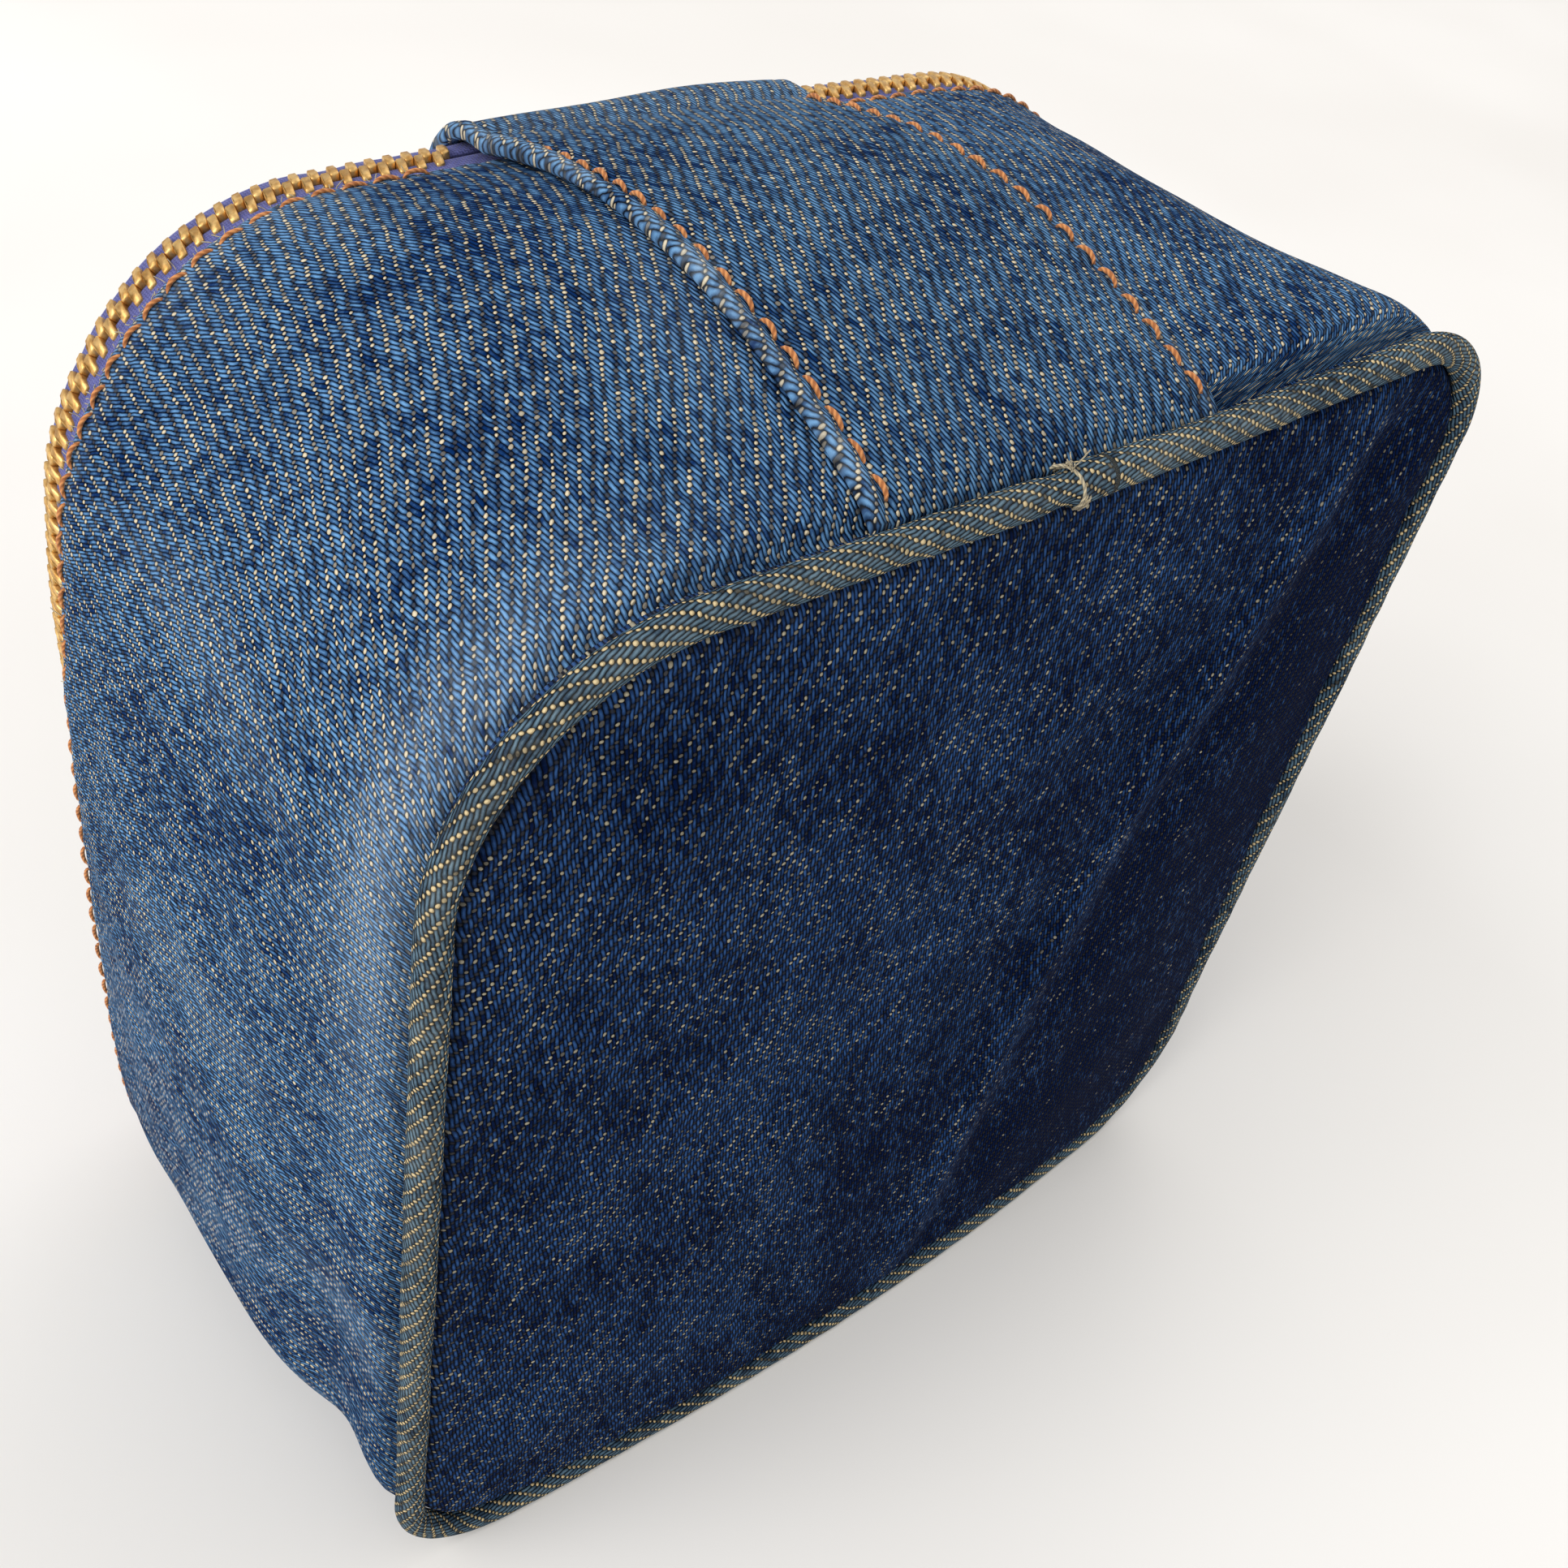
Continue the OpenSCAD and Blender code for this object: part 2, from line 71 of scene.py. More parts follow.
PIPE_R = 1.62
PIPE_IN = 1.2                 # the piping's centre, inside the case's outline
CORE_R = 1.05
JOIN_X = -5.2                 # where the piping's ends meet
BAND_LEFT = -26.0
BAND_RIGHT = 17.4
BAND_STITCH_IN = 2.1
STITCH_PITCH = 3.2
TOOTH_PITCH = 2.0
CHAIN_N = -1.35               # the middle of the zip chain, under the walls' outer face
LID_Y = ZIP_Y + 5.3
LEAN_Y = FOLD_Y - 2.0         # from here the rim leans inwards, most at the lower left
LEAN_DEPTH = 7.0
BEND_R = 8.0
BEND_FROM = ZIP_Y - 2.0       # the band starts to turn down here
BAND_TOP = 1.6
LID_CLOTH_IN = 5.5
LID_DOME = 4.0
LID_STITCH_IN = 7.1

# Corner radii, clockwise from the top right, at the base, half-way and at the zip rim
BASE_R = (16.0, 17.0, 13.0, 24.0)
HALF_R = (33.0, 22.0, 25.0, 32.0)
RIM_R = (27.0, 20.0, 22.0, 27.0)
CORNERS = np.array([0, 0.10, 0.16, 0.34, 0.40, 0.60, 0.66, 0.84, 0.90, 1.0])


# ---------------------------------------------------------------- shape of the case

def smooth(t):
    """Eases from 0 to 1 as t does."""
    t = np.clip(t, 0, 1)
    return t * t * (3 - 2 * t)


def ripple(u, v, size, seed, count=7):
    """Soft, repeatable unevenness between about -1 and 1, with features of that size in mm."""
    rng = np.random.default_rng(seed)
    total = np.zeros(np.broadcast(u, v).shape)
    for _ in range(count):
        angle, phase = rng.uniform(0, math.tau, 2)
        rate = math.tau / (size * rng.uniform(0.7, 1.6))
        total = total + np.sin(rate * (u * math.cos(angle) + v * math.sin(angle)) + phase)
    return total / math.sqrt(count)


def rounded_box(s, half_w, low, high, radii):
    """x and z on a rounded rectangle at station s, from 0 at the top middle clockwise to 1."""
    r0, r1, r2, r3 = radii
    s, half_w, low, high, r0, r1, r2, r3 = np.broadcast_arrays(s, half_w, low, high, r0, r1, r2, r3)
    leg = np.clip(np.searchsorted(CORNERS, s, side="right") - 1, 0, 8)
    t = (s - CORNERS[leg]) / (CORNERS[leg + 1] - CORNERS[leg])
    q = t * math.pi / 2
    x = np.choose(leg, [
        (half_w - r0) * t, half_w - r0 + r0 * np.sin(q), half_w,
        half_w - r1 + r1 * np.cos(q), half_w - r1 - (2 * half_w - r1 - r2) * t,
        r2 - half_w - r2 * np.sin(q), -half_w, r3 - half_w - r3 * np.cos(q),
        -(half_w - r3) * (1 - t),
    ])
    z = np.choose(leg, [
        high, high - r0 + r0 * np.cos(q), high - r0 - (high - low - r0 - r1) * t,
        low + r1 - r1 * np.sin(q), low, low + r2 - r2 * np.cos(q),
        low + r2 + (high - low - r2 - r3) * t, high - r3 + r3 * np.sin(q), high,
    ])
    return x, z


def front_sag(a, b):
    """How far the base has sagged out of its plane, at shares a of its width and b of its height."""
    return -4.0 * (1 - a * a) * smooth((0.2 - b) / 1.2)


def side_tuck(a):
    """The base is a little narrower than the rim on the right."""
    return np.where(a > 0, 4.3 * smooth(a * 1.5), 0)


def corner_rise(a, b):
    """The base's top edge climbs a little towards its right-hand corner."""
    return 1.5 * smooth(a) * smooth(b * 1.1)


def lean_angle(s):
    """How far the rim leans in at each station: hardly at the top, steeply low on the left."""
    left = smooth((0.825 - s) / 0.10) * smooth((s - 0.45) / 0.15)
    return np.radians(6.0 + 38.0 * left) * smooth((s - 0.45) / 0.1) * smooth((0.99 - s) / 0.06)


def wall_point(s, y):
    """A point on the walls' outer face at station s and depth y, or on the rim's line beyond."""
    s, y = np.broadcast_arrays(np.asarray(s, float) % 1.0, np.asarray(y, float))
    p = upright_point(s, y)
    past = np.clip(y - LEAN_Y, 0, LEAN_DEPTH)
    angle = lean_angle(s)
    ease = past * past / (past + 1.5)
    along = upright_point(s + 2e-4, y) - upright_point(s - 2e-4, y)
    out = np.stack([-along[..., 2], 0 * s, along[..., 0]], -1)
    out /= np.linalg.norm(out, axis=-1, keepdims=True)
    inward = (ease * np.sin(angle))[..., None]
    short = ease * (1 - np.cos(angle))
    return p - out * inward - np.stack([0 * s, short, 0 * s], -1)


def upright_point(s, y):
    """The same point before the rim leans in."""
    s, y = np.broadcast_arrays(np.asarray(s, float) % 1.0, np.asarray(y, float))
    t = np.clip((y - WALL_Y) / (FOLD_Y - WALL_Y), 0, 1)
    w0, w1, w2 = 2 * (t - 0.5) * (t - 1), 4 * t * (1 - t), 2 * t * (t - 0.5)
    radii = [p * w0 + q * w1 + r * w2 for p, q, r in zip(BASE_R, HALF_R, RIM_R)]
    x, z = rounded_box(s, HALF_W, 0.0, CASE_H, radii)
    a, b = x / HALF_W, (z - MID_Z) / MID_Z
    swell = np.sin(math.pi * t)
    x = x - side_tuck(a) * (1 - t)
    left = -(4.2 * swell + 3.8 * t) * (1 - (b + 0.2) ** 2).clip(0)
    x = x + np.where(a < 0, left, 2.0 * swell * (1 - b * b))
    full = 1 - np.abs(a) ** np.where(a > 0, 2.1, 2.0)
    top = (9 * swell * (0.8 - np.where(a > 0, 0.3, 0.35) * a) + (2.3 - 0.7 * a) * t) * full
    z = z + np.where(b > 0, top, 2.5 * swell * (1 - a * a))
    shoulder = smooth(t / 0.1) * (1 - t) ** 1.5 * smooth((a - 0.35) / 0.6) * smooth((b - 0.2) / 0.7)
    x = x + 0.7 * shoulder
    z = z + 1.5 * shoulder + corner_rise(a, b) * (1 - t)
    return np.stack([x, y + front_sag(a, b) * (1 - t) ** 2, z], -1)


def wall_normal(s, y):
    """The direction straight out of the wall."""
    along = wall_point(np.asarray(s) + 2e-4, y) - wall_point(np.asarray(s) - 2e-4, y)
    deep = wall_point(s, np.asarray(y) + 0.2) - wall_point(s, np.asarray(y) - 0.2)
    n = np.cross(along, deep)
    return n / np.linalg.norm(n, axis=-1, keepdims=True)


def on_wall(s, y, n):
    """A point n mm proud of the walls' outer face, at station s and depth y."""
    return wall_point(s, y) + wall_normal(s, y) * np.asarray(n, float)[..., None]


def rim_normal(s):
    """The outward direction across the rim, with no lean in it."""
    n = wall_normal(s, ZIP_Y + 20) * [1, 0, 1]
    return n / np.linalg.norm(n, axis=-1, keepdims=True)


def inner_rim(s, inset):
    """The rim's outline before it leaned, for what lies inside the lid."""
    return upright_point(s, ZIP_Y) - rim_normal(s) * inset


STATIONS = np.linspace(0, 1, 4001)


def track(y):
    """Distances clockwise from the top middle to each of STATIONS, at depth y."""
    p = wall_point(STATIONS[:-1], y)
    p = np.vstack([p, p[:1]])
    return np.concatenate([[0], np.cumsum(np.linalg.norm(np.diff(p, axis=0), axis=1))])


def station(distance, y):
    """The station at a distance in mm from the top middle, clockwise, or back where negative."""
    steps = track(y)
    return np.interp(np.asarray(distance) % steps[-1], steps, STATIONS)


RIM_L = track(ZIP_Y)[-1]


def base_edge(s, inset):
    """Points on the base's outline, and how far they sag forwards."""
    x, z = rounded_box(s, HALF_W - inset, inset, CASE_H - inset, [r - inset for r in BASE_R])
    a, b = x / HALF_W, (z - MID_Z) / MID_Z
    return x - side_tuck(a), z + corner_rise(a, b), front_sag(a, b)


# ---------------------------------------------------------------- meshes

def grid_faces(rows, cols, rows_closed, cols_closed):
    r = np.arange(rows if rows_closed else rows - 1)[:, None]
    c = np.arange(cols if cols_closed else cols - 1)[None, :]
    r1, c1 = (r + 1) % rows, (c + 1) % cols
    return np.stack([r * cols + c, r1 * cols + c, r1 * cols + c1, r * cols + c1], -1).reshape(-1, 4)


def capped_faces(rows, cols):
    """Faces of a tube of rows of points, with its two ends closed."""
    faces = list(grid_faces(rows, cols, False, True))
    return faces + [list(range(cols))[::-1], list(range((rows - 1) * cols, rows * cols))]


def piece(name, points, faces, material, cloth=None, wear=None):
    mesh = bpy.data.meshes.new(name)
    placed = np.asarray(points, float).reshape(-1, 3) * MM + OFFSET
    mesh.from_pydata(placed.tolist(), [], [tuple(map(int, f)) for f in faces])
    count = len(placed)
    if cloth is not None:
        data = np.zeros((count, 3))
        data[:, :2] = np.asarray(cloth, float).reshape(-1, 2)
        mesh.attributes.new("cloth", "FLOAT_VECTOR", "POINT").data.foreach_set("vector", data.ravel())
    worn = np.zeros(count) if wear is None else np.asarray(wear, float).ravel()
    mesh.attributes.new("wear", "FLOAT", "POINT").data.foreach_set("value", worn)
    mesh.polygons.foreach_set("use_smooth", [True] * len(mesh.polygons))
    mesh.materials.append(material)
    mesh.update()
    obj = bpy.data.objects.new(name, mesh)
    bpy.context.scene.collection.objects.link(obj)
    bpy.context.view_layer.objects.active = obj
    bm = bmesh.new()
    bm.from_mesh(mesh)
    bmesh.ops.recalc_face_normals(bm, faces=bm.faces)
    bm.to_mesh(mesh)
    bm.free()
    return obj


def loft(name, points, material, closed=False, cloth=None, wear=None):
    """A solid whose cross-sections are the rows of points, each a closed loop."""
    rows, cols = points.shape[:2]
    faces = list(grid_faces(rows, cols, True, True)) if closed else capped_faces(rows, cols)
    return piece(name, points, faces, material, cloth, wear)


def loop_lengths(loop):
    """Distance along a flat profile to each of its points, from its first one."""
    steps = np.linalg.norm(np.diff(np.asarray(loop, float), axis=0), axis=1)
    return np.concatenate([[0], np.cumsum(steps)])


def strip_u(points, anchor):
    """Distances along each column of points, ending at anchor."""
    steps = np.linalg.norm(np.diff(points, axis=0), axis=2)
    u = np.concatenate([np.zeros((1, points.shape[1])), np.cumsum(steps, axis=0)])
    return u - u[-1] + anchor


def rim_sweep(name, profile, material, stations, closed, anchor=BAND_LEFT, wear=None, bumps=None):
    """Sweeps a closed profile of (depth, height over the wall) round the case."""
    profile = np.asarray(profile, float)
    y = np.broadcast_to(profile[:, 0], (len(stations), len(profile)))
    n = np.broadcast_to(profile[:, 1], y.shape).copy()
    s = np.broadcast_to(np.asarray(stations)[:, None], y.shape)
    flat = on_wall(s, y, n)
    u = strip_u(flat, anchor)
    v = np.broadcast_to(loop_lengths(profile) + profile[0, 0], y.shape)
    if bumps is not None:
        n = n + bumps(u, y, n)
        flat = on_wall(s, y, n)
    wear = None if wear is None else wear(u, y, n)
    return loft(name, flat, material, closed, np.stack([u, v], -1), wear)


def join_meshes(name, parts, material):
    """One piece from many small (points, faces, cloth) meshes."""
    points, faces, cloth, base = [], [], [], 0
    for p, f, c in parts:
        points.append(np.asarray(p).reshape(-1, 3))
        faces += [[i + base for i in face] for face in f]
        cloth.append(np.asarray(c).reshape(-1, 2))
        base += len(points[-1])
    return piece(name, np.vstack(points), faces, material, np.vstack(cloth))


def cord_mesh(path, radius, sides=8):
    """A round thread along a path, with blunt ends, as (points, faces, cloth)."""
    path = np.asarray(path, float)
    count = len(path)
    ahead = np.gradient(path, axis=0)
    ahead /= np.linalg.norm(ahead, axis=1, keepdims=True)
    up = np.array([0.3, -0.5, 0.81])
    side = np.cross(ahead, up)
    side /= np.linalg.norm(side, axis=1, keepdims=True)
    over = np.cross(side, ahead)
    turn = np.arange(sides) * math.tau / sides
    size = np.broadcast_to(radius, count)[:, None, None]
    ring = side[:, None] * np.cos(turn)[None, :, None] + over[:, None] * np.sin(turn)[None, :, None]
    points = path[:, None] + size * ring
    run = loop_lengths(path)
    cloth = np.stack(np.broadcast_arrays(run[:, None], turn[None, :]), -1)
    return points, capped_faces(count, sides), cloth


def hand_over(obj, body, slot, *nodes):
    """Hides the CAD nodes a piece stands for and hangs it on the body it rides on; the slot is not used."""
    if nodes:
        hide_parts(*nodes)
    if body:
        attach(obj, body)
    return obj


# ---------------------------------------------------------------- materials

class Graph:
    """A short way to write shader nodes."""

    def __init__(self, name, **constants):
        self.material = bpy.data.materials.new(name)
        self.material.use_nodes = True
        self.tree = self.material.node_tree
        self.shader = self.tree.nodes["Principled BSDF"]
        for key, value in constants.items():
            self.shader.inputs[key.replace("_", " ")].default_value = value

    def node(self, kind, inputs=(), **settings):
        made = self.tree.nodes.new(kind)
        for key, value in settings.items():
            setattr(made, key, value)
        for key, value in dict(inputs).items():
            self.plug(made.inputs[key], value)
        return made

    def plug(self, socket, value):
        if isinstance(value, bpy.types.NodeSocket):
            self.tree.links.new(value, socket)
        elif value is not None:
            socket.default_value = value

    def math(self, operation, *values, clamp=False):
        made = self.node("ShaderNodeMath", operation=operation, use_clamp=clamp)
        for socket, value in zip(made.inputs, values):
            self.plug(socket, value)
        return made.outputs[0]

    def mix(self, factor, a, b, blend="MIX"):
        made = self.node("ShaderNodeMix", data_type="RGBA", blend_type=blend)
        for key, value in ((0, factor), (6, a), (7, b)):
            self.plug(made.inputs[key], value)
        return made.outputs[2]

    def ramp(self, value, low, high, to_low=0.0, to_high=1.0):
        made = self.node("ShaderNodeMapRange", interpolation_type="SMOOTHSTEP")
        for key, number in ((0, value), (1, low), (2, high), (3, to_low), (4, to_high)):
            self.plug(made.inputs[key], number)
        return made.outputs[0]

    def vector(self, x, y, z=0.0):
        return self.node("ShaderNodeCombineXYZ", {0: x, 1: y, 2: z}).outputs[0]

    def noise(self, vector, scale, detail=2.0, rough=0.5):
        inputs = {"Vector": vector, "Scale": scale, "Detail": detail, "Roughness": rough}
        return self.node("ShaderNodeTexNoise", inputs).outputs[0]

    def random(self, vector):
        return self.node("ShaderNodeTexWhiteNoise", {"Vector": vector}, noise_dimensions="3D").outputs[0]

    def cloth(self):
        place = self.node("ShaderNodeAttribute", attribute_name="cloth")
        split = self.node("ShaderNodeSeparateXYZ", {0: place.outputs["Vector"]})
        return place.outputs["Vector"], split.outputs[0], split.outputs[1]

    def wear(self):
        return self.node("ShaderNodeAttribute", attribute_name="wear").outputs["Fac"]

    def place(self):
        """The object's own coordinates, in mm."""
        spot = self.node("ShaderNodeTexCoord").outputs["Object"]
        return self.node("ShaderNodeVectorMath", {0: spot, 3: 1000.0}, operation="SCALE").outputs[0]

    def finish(self, color, height=None, strength=0.6, distance=0.0002, rough=None):
        self.plug(self.shader.inputs["Base Color"], color)
        if rough is not None:
            self.plug(self.shader.inputs["Roughness"], rough)
        if height is not None:
            bump = self.node("ShaderNodeBump", {"Strength": strength, "Distance": distance, "Height": height})
            self.tree.links.new(bump.outputs[0], self.shader.inputs["Normal"])
        return self.material


def rgb(r, g, b):
    """A screen colour from 0 to 255, as the shader's linear colour."""
    def linear(c):
        c /= 255
        return c / 12.92 if c <= 0.04045 else ((c + 0.055) / 1.055) ** 2.4
    return (linear(r), linear(g), linear(b), 1.0)


def denim(name, dark, mid, light, dots, turn=0.0, speck=0.5, glint=0.5):
    """Right-hand 3/1 twill: blue warp floats, with a cream weft bead at every fourth crossing."""
    warp, pick = 0.40, 0.44
    g = Graph(name, Roughness=0.95, Specular_IOR_Level=0.04)
    spot, u, v = g.cloth()
    if turn:
        c, s = math.cos(turn), math.sin(turn)
        u, v = (
            g.math("ADD", g.math("MULTIPLY", u, c), g.math("MULTIPLY", v, -s)),
            g.math("ADD", g.math("MULTIPLY", u, s), g.math("MULTIPLY", v, c)),
        )
        spot = g.vector(u, v)
    place = g.place()
    wobble = g.math("MULTIPLY_ADD", g.noise(spot, 0.3, 3.0), 0.9, -0.45)
    uu = g.math("DIVIDE", g.math("ADD", u, wobble), warp)
    sway = g.math("MULTIPLY_ADD", g.noise(g.vector(u, v, 31.0), 0.4, 2.0), 0.8, -0.4)
    vv = g.math("DIVIDE", g.math("ADD", v, sway), pick)
    i = g.math("FLOOR", uu)
    across = g.math("FRACT", uu)
    lag = g.math("SUBTRACT", vv, i)
    t = g.math("FLOORED_MODULO", lag, 4.0)
    group = g.math("FLOOR", g.math("DIVIDE", lag, 4.0))
    chance = g.random(g.vector(i, group, 3.0))
    other = g.random(g.vector(i, group, 8.0))
    # cross-section of a yarn, its float over three picks, and the round bead between two floats
    c2 = g.math("MULTIPLY_ADD", across, 2.0, -1.0)
    yarn = g.math("SUBTRACT", 1.0, g.math("MULTIPLY", c2, c2))
    f = g.math("DIVIDE", g.math("SUBTRACT", t, 2.5), 1.5)
    floats = g.math("SUBTRACT", 1.0, g.math("MULTIPLY", f, f), clamp=True)
    side = g.math("MULTIPLY", g.math("SUBTRACT", across, 0.5), warp)
    ahead = g.math("MULTIPLY", g.math("SUBTRACT", t, 0.5), pick)
    far = g.math("ADD", g.math("MULTIPLY", side, side), g.math("MULTIPLY", ahead, ahead))
    reach = g.math("MULTIPLY_ADD", other, 0.040, 0.030)
    bead = g.math("SUBTRACT", 1.0, g.math("DIVIDE", far, reach), clamp=True)
    worn = g.math("MULTIPLY", g.wear(), g.ramp(g.noise(spot, 0.9, 4.0), 0.3, 0.7, 0.35, 1.2))
    # beads stand out in runs along each twill line, and more on worn places
    run = g.vector(g.math("MULTIPLY", group, 3.7), g.math("MULTIPLY", i, 0.11), 5.0)
    streak = g.noise(run, 1.0, 3.0, 0.6)
    patch = g.noise(place, 0.055, 3.0)
    show = g.math("ADD", g.math("MULTIPLY_ADD", streak, 2.2, speck - 1.6), g.math("MULTIPLY", worn, 0.6))
    show = g.math("ADD", show, g.math("MULTIPLY_ADD", patch, 0.8, -0.4))
    shown = g.ramp(g.math("SUBTRACT", g.math("ADD", show, 0.5), chance), -0.3, 0.4, 0.04, 1.0)
    dot_amount = g.math("MULTIPLY", g.ramp(bead, 0.0, 0.5), shown)
    # warp colour: each yarn fades on its own along its length; each float also gets a painted highlight along
    # its middle and painted shade in the gaps between yarns
    fibre = g.noise(g.vector(g.math("MULTIPLY", i, 7.31), g.math("MULTIPLY", v, 0.8), 0.0), 1.0, 3.0, 0.7)
    broad = g.noise(g.vector(g.math("MULTIPLY", u, 0.22), g.math("MULTIPLY", v, 0.05), 9.0), 1.0, 4.0, 0.6)
    cloudy = g.noise(spot, 0.45, 5.0, 0.65)
    tone = g.math("ADD", g.math("MULTIPLY", fibre, 0.55), g.math("MULTIPLY", broad, 0.35))
    tone = g.math("ADD", tone, g.math("MULTIPLY_ADD", cloudy, 0.3, 0.1))
    tone = g.math("ADD", tone, g.math("MULTIPLY_ADD", patch, 0.5, -0.25))
    tone = g.math("ADD", tone, g.math("MULTIPLY", worn, 0.35))
    relief = g.math("MULTIPLY", yarn, g.math("MULTIPLY_ADD", floats, 0.75, 0.25))
    bright = g.math("MULTIPLY_ADD", other, 0.5, g.math("MULTIPLY_ADD", chance, 0.25, -0.37))
    bright = g.math("ADD", tone, g.math("MULTIPLY", bright, glint))
    blue = g.mix(g.ramp(bright, 0.45, 0.85), mid, g.mix(0.45, mid, light))
    # painted highlight: the middle of each raised float is mixed towards the light blue
    blue = g.mix(g.ramp(g.math("MULTIPLY", bright, relief), 0.4, 0.95), blue, light)
    # painted shade: the low places between yarns, and round each bead, are mixed towards the dark colour
    blue = g.mix(g.ramp(relief, 0.08, 0.62, 1.0, 0.0), blue, dark)
    # painted shade: each weft bead's colour darkens towards its edge
    tan = g.mix(g.ramp(bead, 0.0, 0.7), (dots[0] * 0.35, dots[1] * 0.3, dots[2] * 0.24, 1), dots)
    color = g.mix(g.math("MULTIPLY", dot_amount, 0.95, clamp=True), blue, tan)
    color = g.mix(g.math("MULTIPLY", worn, 0.3, clamp=True), color, g.mix(0.4, light, dots))
    height = g.math("MAXIMUM", relief, g.math("MULTIPLY", g.math("MULTIPLY", bead, shown), 1.1))
    height = g.math("ADD", height, g.math("MULTIPLY", g.noise(spot, 5.0, 2.0), 0.2))
    return g.finish(color, height, 1.0, 0.0002)


def yarn_cloth(name, base, shade, pitch=0.5, fuzz=0.2):
    """A plain woven cloth."""
    g = Graph(name, Roughness=0.9, Specular_IOR_Level=0.15, Sheen_Weight=0.1)
    spot, u, v = g.cloth()
    a = g.math("ABSOLUTE", g.math("SINE", g.math("MULTIPLY", u, math.pi / pitch)))
    b = g.math("ABSOLUTE", g.math("SINE", g.math("MULTIPLY", v, math.pi / pitch)))
    column = g.math("FLOOR", g.math("DIVIDE", u, pitch))
    cell = g.math("ADD", column, g.math("FLOOR", g.math("DIVIDE", v, pitch)))
    odd = g.math("FLOORED_MODULO", cell, 2.0)
    height = g.math("ADD", g.math("MULTIPLY", a, odd), g.math("MULTIPLY", b, g.math("SUBTRACT", 1.0, odd)))
    # painted shade: the colour darkens in the weave's low places, by its height, besides random tone
    tone = g.math("ADD", g.math("MULTIPLY", g.noise(spot, 0.7, 4.0), 0.8), g.math("MULTIPLY", height, 0.35))
    color = g.mix(g.ramp(tone, 0.3, 0.9), shade, base)
    height = g.math("ADD", height, g.math("MULTIPLY", g.noise(spot, 3.0, 3.0), fuzz))
    return g.finish(color, height, 0.5, 0.00012)


def thread_look(name, base, shade):
    """Two-ply sewing thread: a twist along it, and small differences of dye."""
    g = Graph(name, Roughness=0.75, Specular_IOR_Level=0.25, Sheen_Weight=0.15)
    spot, run, turn = g.cloth()
    twist = g.math("SINE", g.math("ADD", g.math("MULTIPLY", run, 9.0), g.math("MULTIPLY", turn, 2.0)))
    # painted shade: the thread is darker in the grooves of its twist, with random dye tone added
    tone = g.math("ADD", g.math("MULTIPLY", twist, 0.25), g.noise(g.place(), 0.9, 3.0))
    color = g.mix(g.ramp(tone, 0.25, 0.8), shade, base)
    return g.finish(color, twist, 0.5, 0.0001)


def brass_look():
    """Golden brass with rubbed faces, dull in its hollows."""
    g = Graph("brass", Metallic=0.85, Specular_IOR_Level=0.5)
    place = g.place()
    rub = g.noise(place, 0.9, 5.0, 0.6)
    color = g.mix(g.ramp(rub, 0.3, 0.7), rgb(190, 142, 76), rgb(238, 200, 132))
    rough = g.ramp(g.noise(place, 2.2, 3.0), 0.3, 0.7, 0.32, 0.55)
    return g.finish(color, g.noise(place, 3.5, 4.0), 0.12, 0.0001, rough)


def board_look():
    """Grey board, pressed from fibres."""
    g = Graph("board", Specular_IOR_Level=0.2)
    place = g.place()
    fibres = g.noise(place, 1.6, 6.0, 0.7)
    color = g.mix(g.ramp(fibres, 0.3, 0.7), rgb(122, 117, 108), rgb(168, 162, 150))
    return g.finish(color, fibres, 0.3, 0.0001, g.ramp(fibres, 0.3, 0.7, 0.75, 0.95))


def floor_look():
    g = Graph("floor", Specular_IOR_Level=0.15)
    place = g.place()
    tone = g.noise(place, 0.004, 3.0)
    color = g.mix(g.ramp(tone, 0.3, 0.7), rgb(236, 233, 229), rgb(244, 242, 239))
    return g.finish(color, g.noise(place, 0.3, 3.0), 0.05, 0.0002, g.ramp(tone, 0.3, 0.7, 0.6, 0.75))


CREAM = rgb(226, 212, 182)
# each blue below is (colour of the painted shade between yarns, mid blue, light blue that also colours the
# painted highlight)
INDIGO = (rgb(1, 6, 22), rgb(6, 42, 92), rgb(106, 156, 204))
BAND_INDIGO = (rgb(1, 6, 22), rgb(6, 42, 90), rgb(106, 154, 198))
# painted shade: the base's indigo is a darker copy of the walls', standing in for the shade on the base,
# which faces away from the window
SHADED_INDIGO = (rgb(0, 2, 9), rgb(0, 19, 58), rgb(52, 90, 146))
GREY_BLUE = (rgb(2, 6, 14), rgb(28, 48, 70), rgb(96, 124, 142))
WALL = denim("denim_wall", *INDIGO, CREAM, -0.3, 0.5, 0.5)
# painted shade: the base uses the darkened indigo, and its beads a darker cream than the walls'
BASE = denim("denim_base", *SHADED_INDIGO, rgb(186, 178, 154), -0.12, 0.2, 0.6)
PIPING = denim("denim_piping", *GREY_BLUE, rgb(224, 202, 156), 1.36, 0.8, 0.6)
BAND = denim("denim_band", *BAND_INDIGO, CREAM, -0.3, 0.45, 0.5)
LIDCLOTH = denim("denim_lid", *BAND_INDIGO, CREAM, -0.3, 0.45, 0.5)
TAPE = yarn_cloth("zip_tape", rgb(104, 108, 166), rgb(66, 68, 122), 0.32, 0.5)
LINING = yarn_cloth("lining_cotton", rgb(196, 190, 176), rgb(160, 154, 140), 0.45)
FOAM = yarn_cloth("padding_felt", rgb(226, 222, 212), rgb(196, 192, 180), 0.9, 0.9)
CORD = yarn_cloth("filler_cord", rgb(222, 214, 196), rgb(180, 170, 150), 0.6, 0.5)
THREAD = thread_look("topstitch_thread", rgb(216, 146, 88), rgb(164, 100, 56))
FUZZ = thread_look("loose_fibre", rgb(206, 192, 158), rgb(150, 140, 120))
BRASS = brass_look()
BOARD = board_look()

# ---------------------------------------------------------------- walls

S_FROM = float(station(BAND_RIGHT - 5, ZIP_Y))
S_TO = float(station(BAND_LEFT + 6, ZIP_Y))
WALL_S = np.linspace(S_FROM, S_TO, 560)


